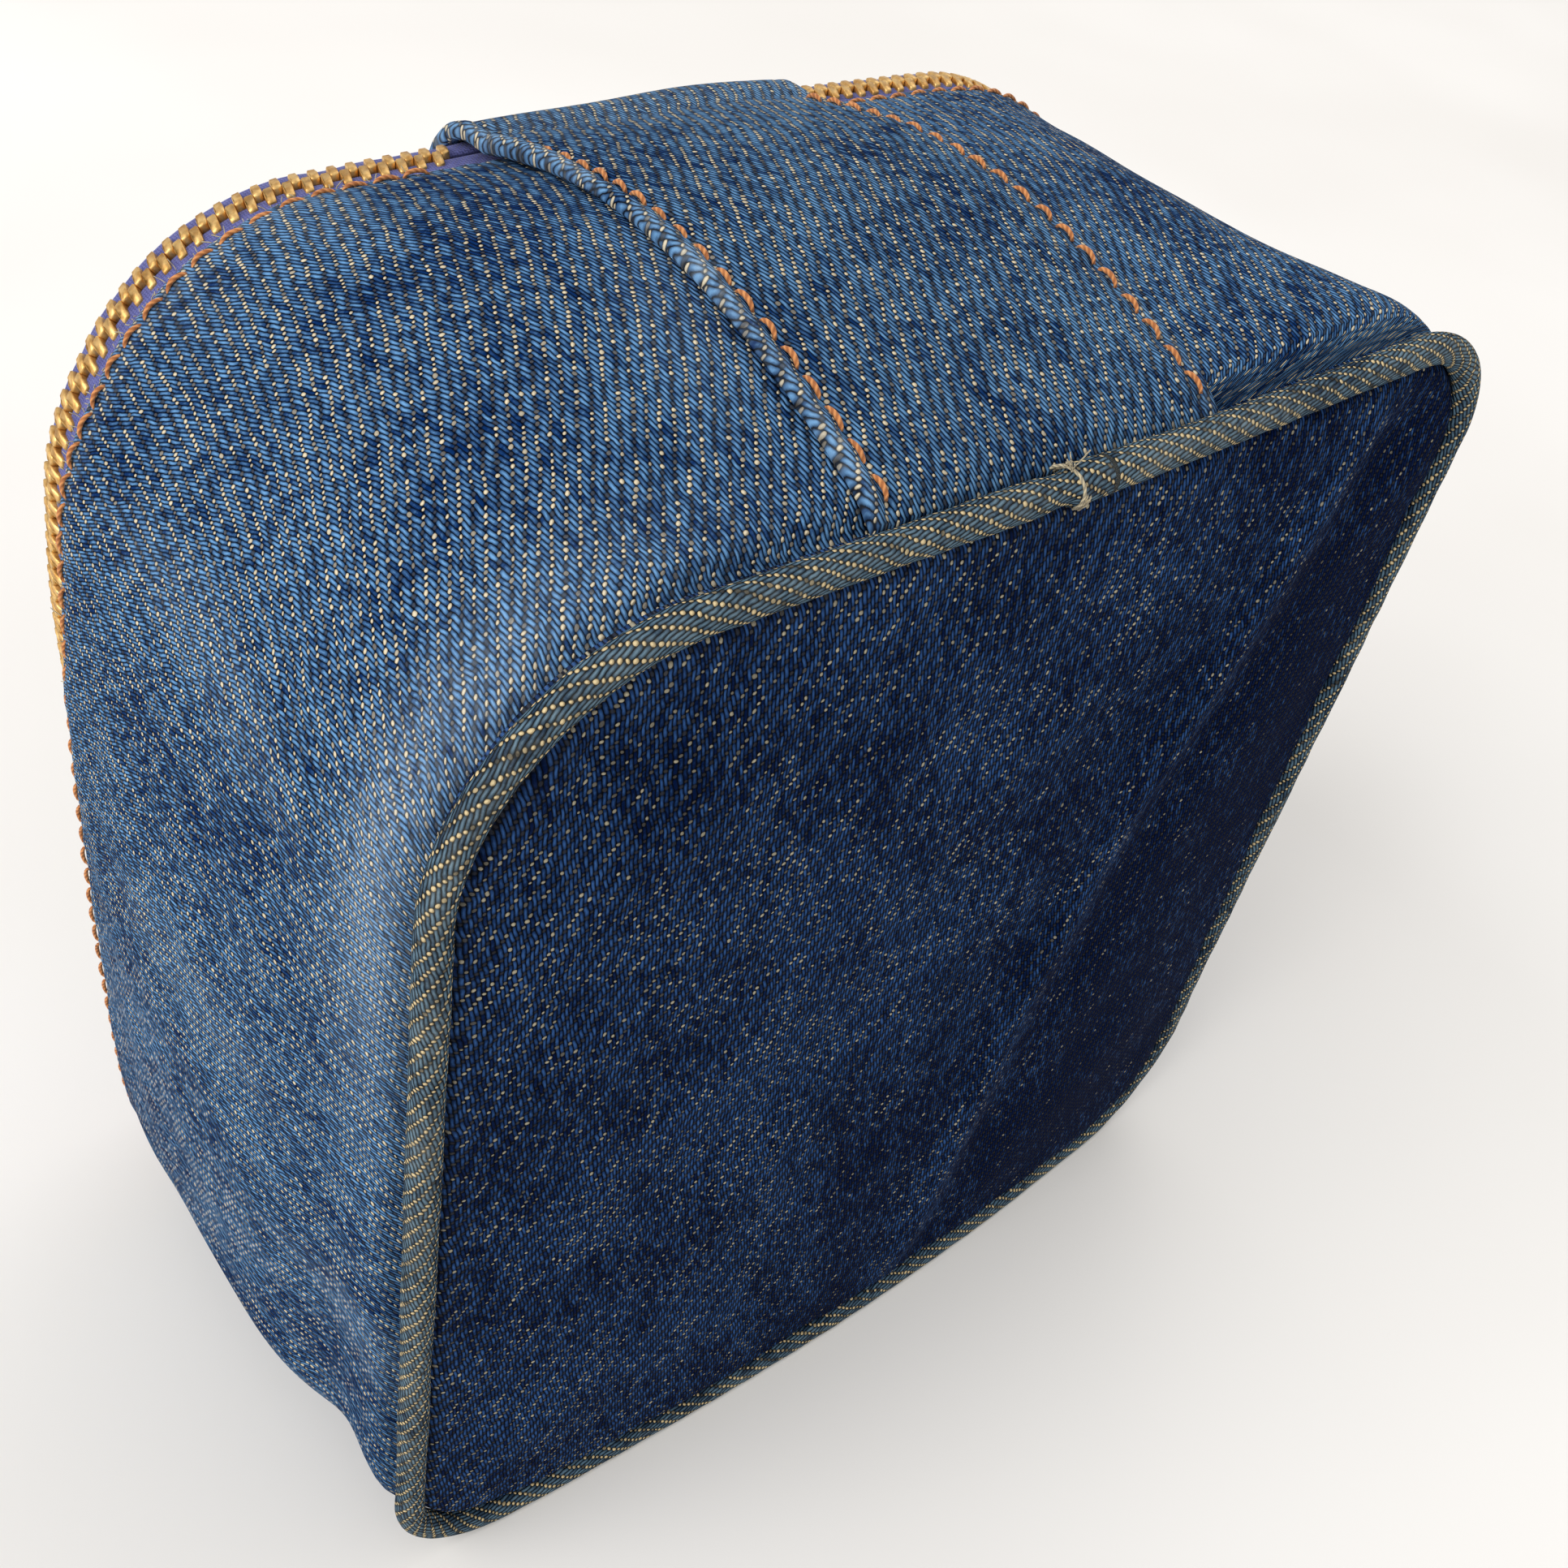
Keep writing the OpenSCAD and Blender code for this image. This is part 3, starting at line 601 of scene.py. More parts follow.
def wall_profile():
    """The cloth's outer face from the piping to its fold beside the zip, and back underneath."""
    front = [(3.1, -2.9), (3.5, -2.6), (4.0, -2.0), (4.6, -1.35), (5.3, -0.6), (6.2, -0.15), (7.2, 0.0)]
    outer = [(y, 0.0) for y in np.linspace(8.2, FOLD_Y - 1.6, 76)]
    fold = [(FOLD_Y - 1.1, 0.06), (FOLD_Y - 0.6, 0.05), (FOLD_Y - 0.25, -0.08), (FOLD_Y - 0.05, -0.35)]
    under = [(FOLD_Y, -0.6), (FOLD_Y - 0.15, -0.88), (FOLD_Y - 0.5, -1.0)]
    back = [(y, -1.0) for y in np.linspace(FOLD_Y - 2.5, 8.2, 20)]
    return front + outer + fold + under + back + [(5.5, -1.4), (4.2, -2.2)]


def wall_bumps(u, y, n):
    outside = smooth((n + 0.9) / 0.5)
    close = np.exp(-((y - STITCH_Y) / 0.75) ** 2)
    dimple = -0.2 * close * (0.65 + 0.35 * np.cos(math.tau * (u - BAND_LEFT) / STITCH_PITCH))
    pucker = 0.1 * np.exp(-np.abs(y - STITCH_Y) / 3.0) * np.cos(math.tau * (u - BAND_LEFT) / STITCH_PITCH)
    soft = 0.28 * ripple(u, y, 34, 4) + 0.10 * ripple(u, y, 11, 5)
    seam = np.exp(-(y - WALL_Y) / 5.0) * 0.22 * ripple(u, y * 0.3, 9, 6)
    # a hollow runs down the left wall behind the piping, with a fuller roll on its far side
    low = np.exp(-((u + 178) / 42) ** 2)
    hollow = -1.5 * low * np.exp(-((y - 14) / 5.0) ** 2) + 0.7 * low * np.exp(-((y - 27) / 8.0) ** 2)
    return (dimple + pucker) * outside + (soft + seam) * smooth((y - 4.0) / 6.0) + hollow


def wall_wear(u, y, n):
    edge = 0.75 * np.exp(-np.clip(FOLD_Y - 0.3 - y, 0, None) / 0.55)
    line = 0.18 * np.exp(-((y - STITCH_Y + 0.8) / 1.2) ** 2)
    crease = 0.16 * smooth(ripple(u, y * 0.4, 22, 8) - 0.4)
    corner = 0.75 * np.exp(-((u + 78) / 26) ** 2) * np.exp(-((y - 8.5) / 4.5) ** 2)
    return edge + line + crease + corner


wall = rim_sweep("wall_cloth", wall_profile(), WALL, WALL_S, False, BAND_LEFT + 6, wall_wear, wall_bumps)
hand_over(wall, "case", "denim_wall", "wall_gusset")

RING_S = np.linspace(0, 1, 480, endpoint=False)


def layer_profile(n_out, n_in, y_end, steps=24):
    depths = np.linspace(8.5, y_end - 0.4, steps)
    back = np.linspace(y_end - 0.4, 8.5, steps)
    outer = [(5.2, n_out - 0.9), (6.4, n_out - 0.35)] + [(y, n_out) for y in depths]
    inner = [(y, n_in) for y in back] + [(6.4, n_in - 0.35), (5.2, n_in - 0.9)]
    return outer + [(y_end, (n_out + n_in) / 2)] + inner


def quilt(u, y, n):
    return np.where(n < -4.0, 0.12 * ripple(u, y, 16, 12), 0.0)


pad = rim_sweep("wall_pad", layer_profile(-1.75, -3.55, FOLD_Y - 1), FOAM, RING_S, True)
hand_over(pad, "case", "padding", "wall_padding")
liner = rim_sweep("wall_liner", layer_profile(-3.75, -4.3, FOLD_Y - 0.5), LINING, RING_S, True, bumps=quilt)
hand_over(liner, "case", "lining", "wall_lining")

# ---------------------------------------------------------------- base

def base_sheet(name, material, inset, height, thickness, rings=64, columns=420):
    """A sheet filling the base's outline: a domed front and a back, joined at the edge."""
    share = np.concatenate([[0.004], np.linspace(0.03, 0.93, rings - 12), np.linspace(0.94, 1, 11)])
    s = np.linspace(0, 1, columns, endpoint=False)
    x, z, _ = base_edge(s, inset)
    px = x[None, :] * share[:, None]
    pz = MID_Z + (z - MID_Z)[None, :] * share[:, None]
    a, b = px / HALF_W, (pz - MID_Z) / MID_Z
    edge = (1 - share[:, None]) * (MID_Z - inset) + 0 * px
    front = height(px, pz, edge) + front_sag(a, b)
    outer = np.stack([px, front, pz], -1)
    inner = np.stack([px, front + thickness, pz], -1)[::-1]
    loops = np.concatenate([outer, inner])
    cloth = np.stack([loops[..., 0], loops[..., 2]], -1)
    ridge = ridge_line(loops[..., 0], loops[..., 2])
    wear = 0.45 * np.exp(-((ridge + 1) / 5.0) ** 2)
    wear -= 0.9 * smooth((loops[..., 0] + 30 - 0.35 * (loops[..., 2] - 40)) / 60)
    wear += 0.22 * np.exp(-np.concatenate([edge, edge[::-1]]) / 1.6)
    return piece(name, loops, capped_faces(len(loops), columns), material, cloth, wear)


def ridge_line(x, z):
    """Distance to the right of the crease that runs down the base panel."""
    return (x - (3 + 0.19 * z + 0.00095 * z * z)) * 0.93


def base_height(x, z, edge):
    tuck = 2.7 * np.exp(-(edge / 1.15) ** 2) + 0.35 * np.exp(-edge / 3.0)
    dome = -1.3 * (1 - np.exp(-edge / 16))
    d = ridge_line(x, z)
    ridge = (-1.1 * np.exp(-((d + 1) / 3.6) ** 2) + 1.1 * np.exp(-((d - 7.5) / 5.0) ** 2)) * smooth(edge / 10)
    dent = 0.7 * np.exp(-((x + 53.2) / 1.7) ** 2 - ((z - 124) / 5.5) ** 2)
    dent += 0.45 * np.exp(-((x + 47 + (z - 118) * 0.25) / 2.0) ** 2 - ((z - 118) / 9) ** 2)
    seam = 0.22 * np.exp(-edge / 6.0) * ripple(x, z, 8, 21)
    soft = 0.22 * ripple(x, z, 26, 22) + 0.05 * ripple(x, z, 9, 23)
    return 0.85 + tuck + dome + ridge + dent + seam + soft * smooth(edge / 6)


base = base_sheet("base_cloth", BASE, 1.6, base_height, 0.9)
hand_over(base, "case", "denim_base", "base_panel")
base_liner = base_sheet(
    "base_liner", LINING, 4.7, lambda x, z, e: 4.4 + 0.08 * ripple(x, z, 14, 31), 0.5, 40, 240,
)
hand_over(base_liner, "case", "lining", "base_lining")
stiffener = base_sheet(
    "base_stiffener", BOARD, 4.6, lambda x, z, e: 3.2 + 0.04 * ripple(x, z, 30, 33), 0.9, 24, 240,
)
hand_over(stiffener, "case", "board", "base_board")


def piping_mesh(name, radius, material, swell, sides=26, count=760):
    s = np.linspace(0, 1, count, endpoint=False)
    x, z, sag = base_edge(s, PIPE_IN)
    centre = np.stack([x, PIPE_R + sag, z], -1)
    ahead = np.roll(centre, -1, axis=0) - np.roll(centre, 1, axis=0)
    ahead /= np.linalg.norm(ahead, axis=1, keepdims=True)
    front = np.array([0.0, -1.0, 0.0]) - ahead * (ahead @ [0.0, -1.0, 0.0])[:, None]
    front /= np.linalg.norm(front, axis=1, keepdims=True)
    out = np.cross(front, ahead)
    run = np.concatenate([[0], np.cumsum(np.linalg.norm(np.diff(centre, axis=0), axis=1))])
    turn = math.pi + np.linspace(0, math.tau, sides, endpoint=False)
    size = (radius + swell(run, x, z))[:, None, None]
    ring = front[:, None] * np.cos(turn)[None, :, None] + out[:, None] * np.sin(turn)[None, :, None]
    points = centre[:, None] + size * ring
    cloth = np.stack(np.broadcast_arrays(run[:, None], (turn * radius)[None, :]), -1)
    facing = (0.5 + 0.5 * np.cos(turn - 0.6))[None, :] ** 3
    wear = 0.55 * facing * (0.7 + 0.3 * ripple(run, run * 0, 18, 41))[:, None]
    return loft(name, points, material, True, cloth, wear)


def join_step(run, x, z):
    """The cover's end laps over its start near the middle of the top edge."""
    right = np.clip((x - JOIN_X) / 0.5, 0, 1) * (z > MID_Z)
    lap = 0.32 * right * np.exp(-np.clip(x - JOIN_X, 0, None) / 16)
    pinch = -0.22 * np.exp(-((x - JOIN_X + 1.2) / 1.6) ** 2) * (z > MID_Z)
    return lap + pinch + 0.05 * ripple(run, run * 0, 13, 42) + 0.03 * ripple(run, run * 0, 4, 43)


piping = piping_mesh("piping", PIPE_R, PIPING, join_step)
hand_over(piping, "case", "denim_piping", "base_piping_cover")
core = piping_mesh("piping_core", CORE_R, CORD, lambda run, x, z: 0 * x, 10, 360)
hand_over(core, "case", "cord", "base_piping_cord")


def fibres(name, roots, heads, seed, length=1.3, radius=0.07):
    """Short loose threads that leave their roots towards their heads, each bent its own way."""
    rng = np.random.default_rng(seed)
    parts = []
    for root, head in zip(roots, heads):
        head = np.asarray(head) + rng.normal(0, 0.45, 3)
        head /= np.linalg.norm(head)
        bend = rng.normal(0, 0.5, 3)
        t = np.linspace(0, 1, 5)[:, None]
        size = length * rng.uniform(0.45, 1.15)
        parts.append(cord_mesh(np.asarray(root) + size * (head * t + bend * t * t), radius, 4))
    return join_meshes(name, parts, FUZZ)


join_turn = np.radians(np.linspace(-50, 165, 9))
join_wraps = []
for k in range(3):
    wrap_x = JOIN_X + 0.15 + 0.42 * k + 0.5 * np.cos(join_turn)
    wrap_r = PIPE_R + 0.38 + 0.08 * math.sin(5 * k)
    top = CASE_H - PIPE_IN + wrap_r * np.sin(join_turn) - 0.2 * k
    fore = PIPE_R + 0.1 - wrap_r * np.cos(join_turn)
    join_wraps.append(cord_mesh(np.stack([wrap_x, fore, top], -1), 0.16, 6))
join_threads = join_meshes("join_threads", join_wraps, FUZZ)
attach(join_threads, "case")
tuft_roots = [(JOIN_X + 0.1 * k, 1.2 + 0.12 * k, CASE_H + 0.75) for k in range(12)]
join_tuft = fibres("join_tuft", tuft_roots, [(-0.7, -0.2, 0.8)] * 12, 71, 1.6)
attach(join_tuft, "case")

binding_loop = [(WALL_Y + 0.4, -6.4), (WALL_Y + 4.2, -6.4), (WALL_Y + 4.2, -7.1), (WALL_Y + 0.4, -7.1)]
base_binding = rim_sweep("base_binding", binding_loop, LINING, np.linspace(0, 1, 240, endpoint=False), True)
hand_over(base_binding, "case", "lining", "base_seam_binding")

# ---------------------------------------------------------------- hinge band

def band_path():
    """Depth, drop below the rim and tilt of the band's middle, from the piping to the lid."""
    depths = np.concatenate([[3.3, 3.8, 4.5, 5.5, 7.0], np.linspace(8.5, BEND_FROM, 88)])
    rows = [(y, 0.0, 0.0) for y in depths]
    for q in np.linspace(0.06, math.pi / 2, 18):
        rows.append((BEND_FROM + BEND_R * math.sin(q), BEND_R * (1 - math.cos(q)), q))
    rows += [(BEND_FROM + BEND_R + 0.22 * d, BEND_R + d, math.pi / 2) for d in np.linspace(0.8, 9.0, 11)]
    return np.array(rows)


def band_edges(y):
    """The band's two edges, across the case, at each depth."""
    t = smooth((y - 30) / 45)
    return BAND_LEFT + 2.6 * t, BAND_RIGHT + 1.2 * t


def band_points(path, share, n):
    """Points on the band: a share from its left edge to its right, n mm over the wall."""
    y, drop, tilt = [path[:, k][:, None] for k in range(3)]
    left, right = band_edges(y)
    x = left + (right - left) * share
    on_y = np.minimum(y, BEND_FROM)
    rows = np.stack([station(x[r], on_y[r, 0]) for r in range(len(path))])
    base_p = wall_point(rows, on_y + 0 * rows)
    normal = wall_normal(rows, on_y + 0 * rows)
    level = np.cos(tilt)
    tilted = np.stack([normal[..., 0] * level, np.sin(tilt) + 0 * x, normal[..., 2] * level], -1)
    normal = np.where((tilt > 0)[..., None], tilted, normal)
    shift = np.stack([0 * x, (y - on_y) + 0 * x, -drop + 0 * x], -1)
    return base_p + shift + normal * np.asarray(n)[..., None], x


def band_mesh():
    path = band_path()
    width = BAND_RIGHT - BAND_LEFT
    edge = np.array([0, 0.03, 0.12, 0.28, 0.5, 0.8, 1.1, 1.4, 1.7, 2.0, 2.3, 2.7, 3.2, 4.0, 5.0])
    across = np.concatenate([edge, np.linspace(6.5, width - 6.5, 30), width - edge[::-1]])
    from_left, from_right = across, width - across
    lift = np.sqrt(np.clip(1 - (1 - np.clip(np.minimum(from_left, from_right) / 0.75, 0, 1)) ** 2, 0, 1))
    lip = 0.3 * np.exp(-((from_left - 0.95) / 0.75) ** 2)
    lip = lip - 0.3 * np.exp(-((from_left - BAND_STITCH_IN) / 0.5) ** 2)
    low = -0.15 * np.exp(-((from_right - BAND_STITCH_IN) / 0.6) ** 2) - 0.45 * np.exp(-from_right / 3.0)
    top = 0.75 + (BAND_TOP - 0.75) * lift + (lip + low) * lift
    bottom = 0.75 - 0.55 * lift
    across_all = np.concatenate([across, across[1:-1][::-1]])
    height = np.concatenate([top, bottom[1:-1][::-1]])
    face = np.concatenate([np.ones(len(top)), np.zeros(len(top) - 2)])
    share = np.broadcast_to(across_all / width, (len(path), len(across_all)))
    run = loop_lengths(path[:, :2])[:, None] + path[0, 0]
    n = np.broadcast_to(height, share.shape).copy()
    u = across_all[None, :] + BAND_LEFT
    tuck = -1.9 * np.exp(-(path[:, 0][:, None] - 3.3) / 1.3)
    beat = np.cos(math.tau * run / STITCH_PITCH)
    left_in = np.abs(across_all - BAND_STITCH_IN)[None]
    right_in = np.abs(width - across_all - BAND_STITCH_IN)[None]
    pucker = 0.16 * beat * (np.exp(-left_in / 0.9) + np.exp(-right_in / 1.4))
    long_pucker = 0.12 * ripple(run, u * 0.25, 5.5, 52) * np.exp(-right_in / 5.0)
    soft = 0.22 * ripple(u, run, 24, 51) * np.exp(-((run - 45) / 60) ** 2)
    n = n + tuck + (pucker + long_pucker + soft) * face[None, :]
    # the left lip is thicker where it turns over the rim
    turn_over = np.exp(-((path[:, 0] - ZIP_Y) / 7.0) ** 2)[:, None]
    n = n + face * 0.35 * turn_over * np.exp(-across_all / 2.2)[None, :]
    points, _ = band_points(path, share, n)
    left_wear = 0.75 * np.exp(-((across_all - 0.7) / 0.8) ** 2)
    left_wear = left_wear[None, :] * (0.75 + 0.45 * ripple(run, run * 0, 12, 55))
    spot = 0.9 * np.exp(-((run - 30.5) / 2.2) ** 2) * np.exp(-((across_all - 1.2) / 1.2) ** 2)[None, :]
    rim_wear = 0.28 * turn_over * (1 + 0 * share)
    right_wear = 0.35 * np.exp(-np.abs(width - across_all - 1.2) / 0.9)[None, :]
    wear = np.clip(left_wear, 0, 1) + spot + rim_wear + right_wear
    cloth = np.stack(np.broadcast_arrays(u, run), -1)
    return loft("band", points, BAND, False, cloth, np.broadcast_to(wear, share.shape))


band = band_mesh()
hand_over(band, None, "denim_band", "hinge_band", "lid_band")
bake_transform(band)

# ---------------------------------------------------------------- frayed edges

fold_run = np.arange(0.36 * RIM_L, RIM_L + BAND_LEFT - 1, 0.5)
fold_s = station(fold_run, FOLD_Y)
fold_at = on_wall(fold_s, FOLD_Y - 0.1 + 0 * fold_s, -0.25 + 0.2 * np.sin(fold_run * 7.7))
fold_fray = fibres("fold_fray", fold_at, [(0, 1.4, 0)] * len(fold_s), 72, 0.6, 0.055)
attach(fold_fray, "case")

# ---------------------------------------------------------------- zip tapes

tape_loop = [
    (FOLD_Y - 6.5, -1.1), (FOLD_Y - 3, -1.1), (FOLD_Y, -1.1), (ZIP_Y - 2.6, -1.1), (ZIP_Y - 1.6, -1.02),
    (ZIP_Y - 0.7, -0.95), (ZIP_Y - 0.35, -1.15), (ZIP_Y - 0.35, -1.5), (ZIP_Y - 0.7, -1.75),
    (ZIP_Y - 1.6, -1.68), (ZIP_Y - 2.6, -1.6), (FOLD_Y, -1.6), (FOLD_Y - 6.5, -1.6),
]
lid_tape_loop = [
    (ZIP_Y + 0.35, -1.15), (ZIP_Y + 0.7, -0.95), (ZIP_Y + 1.6, -1.02), (ZIP_Y + 2.3, -1.1),
    (ZIP_Y + 2.8, -1.4), (ZIP_Y + 3.3, -2.0), (ZIP_Y + 4.5, -4.3), (ZIP_Y + 5.0, -5.6), (ZIP_Y + 5.15, -8.0),
    (ZIP_Y + 5.15, -11.0), (ZIP_Y + 4.7, -11.0), (ZIP_Y + 4.7, -8.0), (ZIP_Y + 4.5, -5.9),
    (ZIP_Y + 4.0, -4.6),
    (ZIP_Y + 2.85, -2.35), (ZIP_Y + 2.4, -1.75), (ZIP_Y + 2.0, -1.6), (ZIP_Y + 1.6, -1.68),
    (ZIP_Y + 0.7, -1.75), (ZIP_Y + 0.35, -1.5),
]


def tape_bumps(u, y, n):
    return 0.07 * ripple(u, y, 7, 61) * (np.abs(y - ZIP_Y) > 2.2)


wall_tape = rim_sweep("wall_tape", tape_loop, TAPE, RING_S, True, bumps=tape_bumps)
hand_over(wall_tape, "case", "tape", "wall_zip_tape")
lid_tape = rim_sweep("lid_tape", lid_tape_loop, TAPE, WALL_S, False, bumps=tape_bumps)
hand_over(lid_tape, "lid", "tape", "lid_zip_tape")

# ---------------------------------------------------------------- zip teeth

def tooth_mesh(distance, side):
    """One tooth of a cast metal row, clamped on the tape's edge; side is -1 on the walls."""
    # (along the zip, across it from the middle, towards the clamped end, half height)
    outline_pts = [(-0.38, -0.28), (0.38, -0.28), (0.5, -0.1), (0.5, 0.7), (0.48, 1.5), (0.4, 1.78),
                   (-0.4, 1.78), (-0.48, 1.5), (-0.5, 0.7), (-0.5, -0.1)]
    levels = [(-0.95, 0.80), (-0.82, 0.97), (0.0, 1.0), (0.74, 0.98), (0.9, 0.86)]
    rings = []
    for height, scale in levels:
        ring = []
        for a, c in outline_pts:
            ring.append((a * scale, (c - 0.75) * (0.4 + 0.6 * scale) + 0.75, height))
        rings.append(ring)
    rings = np.array(rings)
    rings[-2:, :, 2] -= 0.22 * (rings[-2:, :, 1] > 1.2)
    s = float(station(distance, ZIP_Y))
    centre = wall_point(s, ZIP_Y)
    normal = wall_normal(s, ZIP_Y)
    along = wall_point(s + 5e-4, ZIP_Y) - wall_point(s - 5e-4, ZIP_Y)
    along /= np.linalg.norm(along)
    deep = np.array([0.0, 1.0, 0.0])
    lean = 0.24
    run = rings[..., 0] + lean * rings[..., 1] * side
    points = (
        centre + run[..., None] * along + (rings[..., 1] * side)[..., None] * deep
        + (rings[..., 2] + CHAIN_N + 0.1)[..., None] * normal
    )
    count, cols = rings.shape[:2]
    return points, capped_faces(count, cols), np.zeros((count * cols, 2))


def tooth_row(name, side):
    first = BAND_RIGHT + 1.4 + (0.5 * TOOTH_PITCH if side > 0 else 0.0)
    last = RIM_L + BAND_LEFT + 1.2
    parts = [tooth_mesh(d, side) for d in np.arange(first, last, TOOTH_PITCH)]
    return join_meshes(name, parts, BRASS)


hand_over(tooth_row("wall_teeth", -1), "case", "brass", "wall_zip_teeth", "wall_zip_stops")
hand_over(tooth_row("lid_teeth", 1), "lid", "brass", "lid_zip_teeth", "lid_zip_stops")

# ---------------------------------------------------------------- topstitches

def stitch_path(points_of, start, length, bow, rise, steps=9):
    """One stitch: it comes up through the cloth, bows a little aside and goes down again."""
    t = np.linspace(0, 1, steps)
    arch = np.sin(math.pi * t)
    return points_of(start + length * t, bow * arch, -0.35 + rise * np.sqrt(arch))


def rim_stitches():
    rng = np.random.default_rng(71)
    parts = []

    def place(run, bow, n):
        return on_wall(station(run, STITCH_Y), STITCH_Y + bow, n)

    distance = BAND_RIGHT + 2.0
    while distance < RIM_L + BAND_LEFT + 1.0:
        length = STITCH_PITCH * rng.uniform(0.82, 0.92)
        path = stitch_path(place, distance, length, rng.uniform(0.15, 0.35), rng.uniform(0.5, 0.62))
        radius = 0.24 * (0.55 + 0.45 * np.sin(math.pi * np.linspace(0.06, 0.94, len(path))))
        parts.append(cord_mesh(path, radius))
        distance += STITCH_PITCH
    return join_meshes("rim_thread", parts, THREAD)


hand_over(rim_stitches(), "case", "thread", "rim_topstitch")


def band_stitches(name, run_from, run_to):
    """The rows along the band's edges, between two distances along it."""
    rng = np.random.default_rng(73)
    path_rows = band_path()
    runs = loop_lengths(path_rows[:, :2]) + path_rows[0, 0]
    width = BAND_RIGHT - BAND_LEFT
    parts = []
    for inset, rise in ((BAND_STITCH_IN, 0.62), (width - BAND_STITCH_IN, 0.5)):
        distance = run_from
        while distance + STITCH_PITCH < run_to:
            t = np.linspace(0, 1, 9)
            arch = np.sin(math.pi * t)
            run = distance + STITCH_PITCH * rng.uniform(0.66, 0.8) * t
            rows = np.stack([np.interp(run, runs, path_rows[:, k]) for k in range(3)], 1)
            share = (inset + rng.uniform(0.05, 0.2) * arch)[:, None] / width
            n = (BAND_TOP - 0.62 + rise * np.sqrt(arch) + rng.uniform(-0.04, 0.04))[:, None]
            points, _ = band_points(rows, share, n)
            radius = 0.27 * (0.5 + 0.5 * np.sin(math.pi * np.linspace(0.08, 0.92, 9)))
            parts.append(cord_mesh(points[:, 0], radius))
            distance += STITCH_PITCH
    return join_meshes(name, parts, THREAD)


bend_run = FOLD_Y + 2.0
hand_over(band_stitches("band_thread", 5.0, bend_run), "case", "thread", "band_topstitch")

# ---------------------------------------------------------------- lid

def lid_sheet(
    name, material, inset, back, front, dome, bumps,
    back_dome=None, rings=48, columns=360, lip=0.45,
):
    """A panel across the lid with a rounded edge, domed outwards."""
    share = np.concatenate([[0.004], np.linspace(0.04, 0.9, rings - 14), np.linspace(0.915, 1, 13)])
    s = np.linspace(0, 1, columns, endpoint=False)
    rim = wall_point(s, ZIP_Y) + rim_normal(s) * -inset if inset < 10 else inner_rim(s, inset)
    x = rim[None, :, 0] * share[:, None]
    z = MID_Z + (rim[None, :, 2] - MID_Z) * share[:, None]
    edge = (1 - share[:, None]) * (MID_Z - inset) + 0 * x
    swell = 1 - share[:, None] ** 2
    round_off = -lip * np.exp(-edge / 0.5)
    face = front + dome * swell + bumps(x, z, edge) + round_off
    under = back + (dome if back_dome is None else back_dome) * swell + 0 * x - round_off * 0.5
    loops = np.concatenate([np.stack([x, face, z], -1), np.stack([x, under, z], -1)[::-1]])
    cloth = np.stack([-loops[..., 0], loops[..., 2]], -1)
    wear = 0.7 * np.exp(-np.concatenate([edge, edge[::-1]]) / 0.7)
    return piece(name, loops, capped_faces(len(loops), columns), material, cloth, wear)


def lid_bumps(x, z, edge):
    dimple = -0.22 * np.exp(-((edge - 1.6) / 0.6) ** 2)
    angle = np.arctan2(z - MID_Z, x)
    pucker = 0.1 * np.exp(-np.abs(edge - 1.6) / 2.5) * np.cos(angle * 120)
    return dimple + pucker + 0.25 * ripple(x, z, 30, 81) * smooth(edge / 8)


lid = lid_sheet("lid_cloth", LIDCLOTH, LID_CLOTH_IN, LID_Y, LID_Y + 1.0, LID_DOME, lid_bumps)
hand_over(lid, "lid", "denim_lid", "lid_panel")
lid_pad = lid_sheet(
    "lid_pad", FOAM, 11.6, ZIP_Y + 3.55, LID_Y - 0.15, 3.9, lambda x, z, e: 0 * x, 0.0, 30, 200,
)
hand_over(lid_pad, "lid", "padding", "lid_padding")
lid_liner = lid_sheet(
    "lid_liner", LINING, 11.0, ZIP_Y + 2.0, ZIP_Y + 1.5, 0.0,
    lambda x, z, e: 0.1 * ripple(x, z, 18, 83), 0.0, 36, 240, -0.2,
)
hand_over(lid_liner, "lid", "lining", "lid_lining")
lid_binding_loop = [(ZIP_Y + 3.6, -8.0), (ZIP_Y + 4.6, -8.0), (ZIP_Y + 4.6, -11.4), (ZIP_Y + 3.6, -11.4)]
lid_binding = rim_sweep("lid_binding", lid_binding_loop, LINING, np.linspace(0, 1, 240, endpoint=False), True)
hand_over(lid_binding, "lid", "lining", "lid_seam_binding")


def lid_stitches():
    rng = np.random.default_rng(91)
    s = STATIONS[:-1]
    line = wall_point(s, ZIP_Y) + rim_normal(s) * -LID_STITCH_IN
    steps = np.concatenate([[0], np.cumsum(np.linalg.norm(np.diff(line, axis=0), axis=1))])
    parts = []
    distance = BAND_RIGHT + 2.0
    while distance < steps[-1] + BAND_LEFT - 3.5:
        t = np.linspace(0, 1, 9)
        arch = np.sin(math.pi * t)
        run = distance + STITCH_PITCH * rng.uniform(0.72, 0.86) * t
        at = np.interp(run, steps, s)
        p = wall_point(at, ZIP_Y) + rim_normal(at) * (-LID_STITCH_IN - 0.2 * arch)[:, None]
        share = 1 - 1.6 / (MID_Z - LID_CLOTH_IN)
        p[:, 1] = LID_Y + 1.0 + LID_DOME * (1 - share**2) - 0.55 + 0.6 * np.sqrt(arch)
        parts.append(cord_mesh(p, 0.25 * (0.55 + 0.45 * np.sin(math.pi * np.linspace(0.06, 0.94, 9)))))
        distance += STITCH_PITCH
    return join_meshes("lid_thread", parts, THREAD)


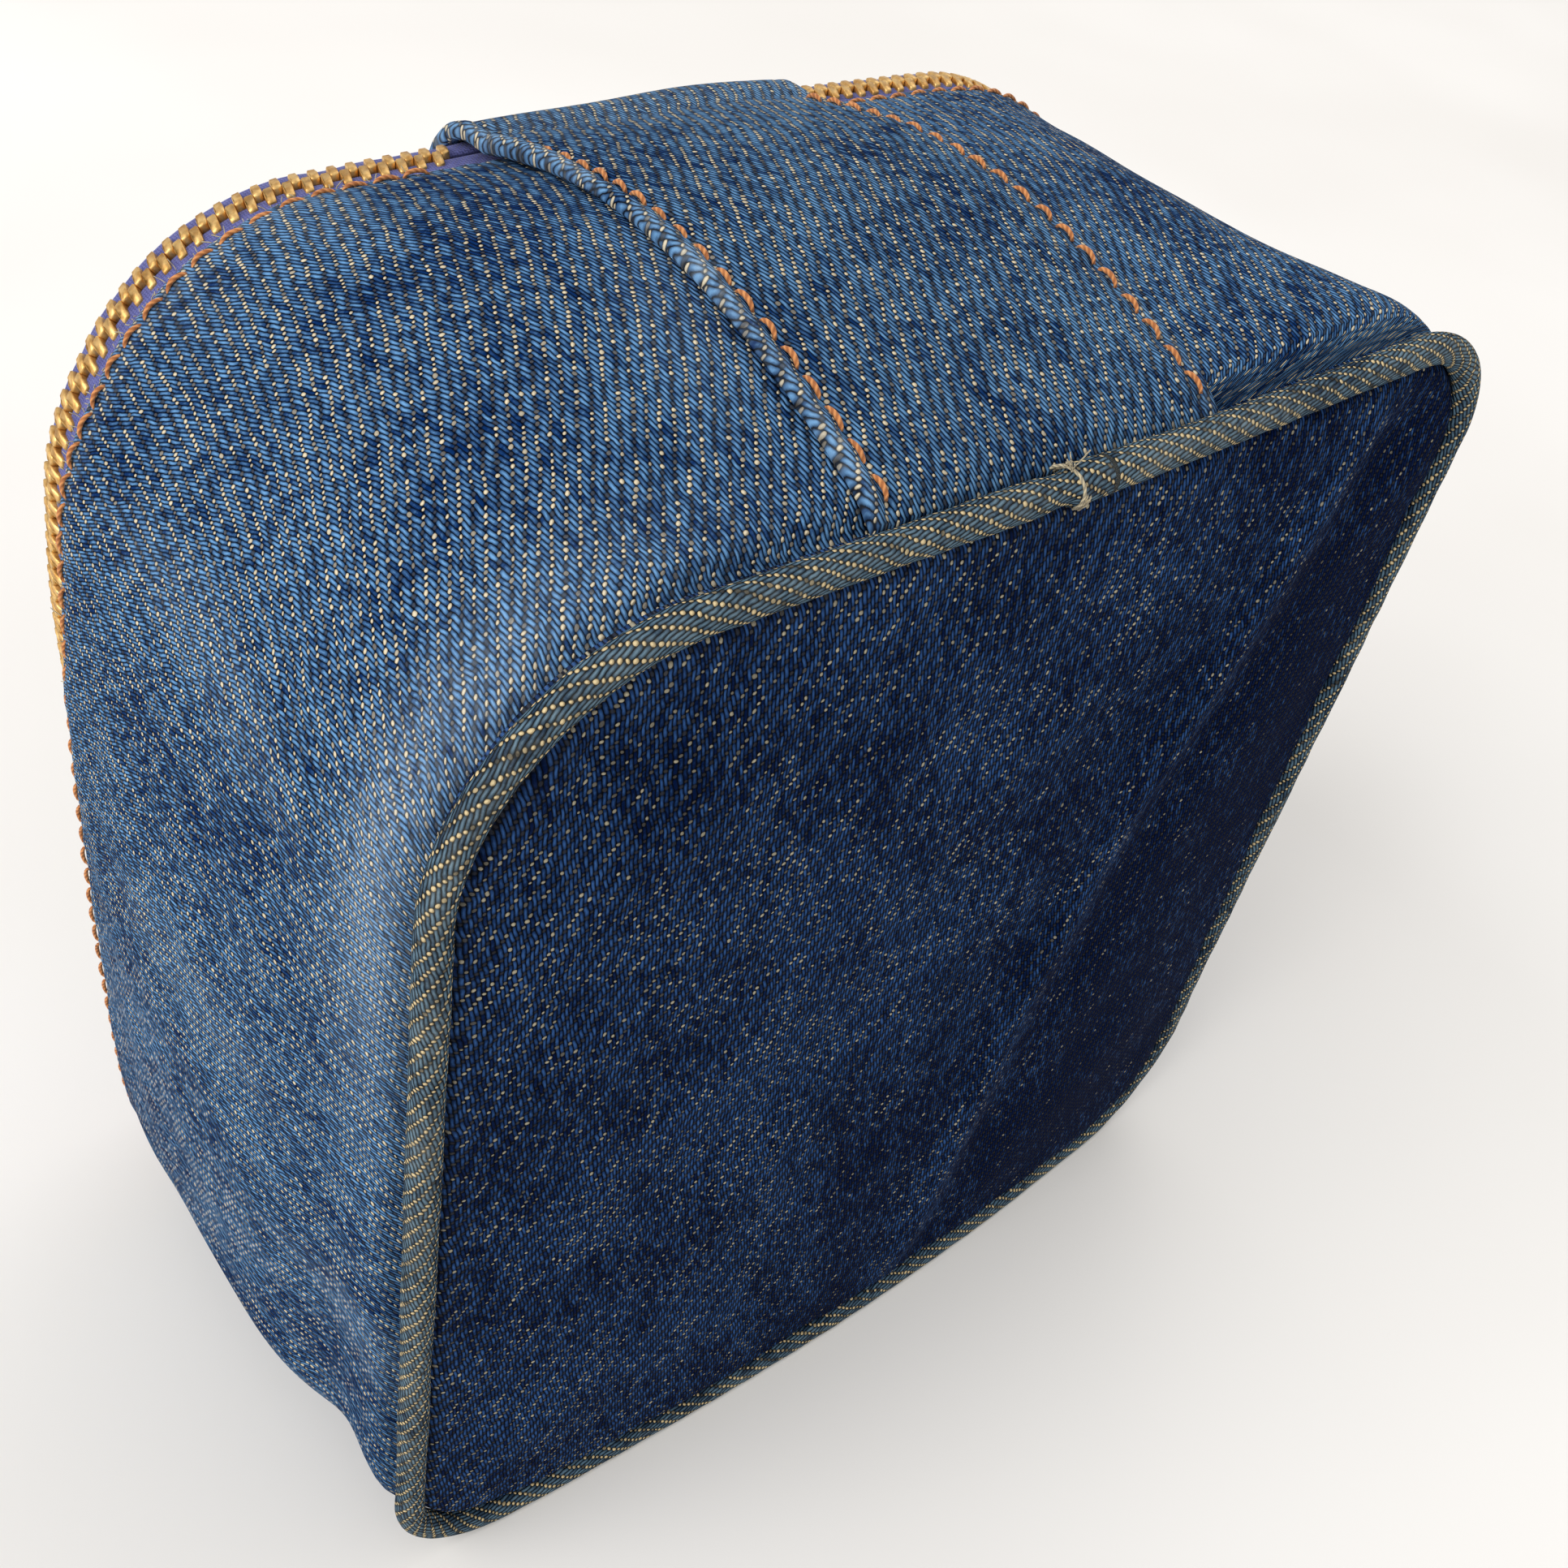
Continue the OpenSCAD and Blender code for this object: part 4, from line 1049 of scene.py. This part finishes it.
hand_over(lid_stitches(), "lid", "thread", "lid_topstitch")

# ---------------------------------------------------------------- carried-over CAD nodes

def repaint(node, material):
    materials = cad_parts[node].data.materials
    materials.clear()
    materials.append(material)


repaint("lid_board", BOARD)
for side in ("lower", "upper"):
    for part in ("slider", "bridge", "pull"):
        repaint(f"{side}_{part}", BRASS)

# ---------------------------------------------------------------- floor, lights, camera

bpy.ops.mesh.primitive_grid_add(x_subdivisions=40, y_subdivisions=40, size=6.0, location=(0, 0, -0.00002))
floor = bpy.context.object
floor.name = "floor"
floor.data.materials.append(floor_look())


def area_light(name, place, target, size, power, color):
    data = bpy.data.lights.new(name, "AREA")
    data.shape, data.size, data.energy, data.color = "SQUARE", size, power, color
    obj = bpy.data.objects.new(name, data)
    obj.location = place
    aim = Vector(target) - Vector(place)
    obj.rotation_euler = aim.to_track_quat("-Z", "Y").to_euler()
    bpy.context.scene.collection.objects.link(obj)


middle = (0.0, 0.0, 0.06)
area_light("window", (-1.9, 0.1, 1.5), middle, 1.9, 42.0, (1.0, 0.995, 0.985))
area_light("fill", (1.5, 0.5, 1.7), middle, 1.8, 9.0, (1.0, 0.99, 0.98))

world = bpy.data.worlds.new("studio")
world.use_nodes = True
world.node_tree.nodes["Background"].inputs["Color"].default_value = (1.0, 0.99, 0.98, 1)
world.node_tree.nodes["Background"].inputs["Strength"].default_value = 0.72
bpy.context.scene.world = world
bpy.context.scene.view_settings.view_transform = "Standard"

camera_data = bpy.data.cameras.new("photo_view")
camera_data.lens = 40.96
camera_data.sensor_width = 36.0
camera_data.clip_start = 0.01
camera = bpy.data.objects.new("photo_view", camera_data)
right = Vector((0.77207, -0.61490, 0.16068))
down = Vector((-0.33336, -0.60706, -0.72135))
ahead = Vector((0.54110, 0.50337, -0.67367))
turn = Matrix((right, -down, -ahead)).transposed().to_4x4()
where = np.array([-115.5, -76.4, 214.1]) * MM + OFFSET
camera.matrix_world = Matrix.Translation(Vector(where)) @ turn
bpy.context.scene.collection.objects.link(camera)
bpy.context.scene.camera = camera
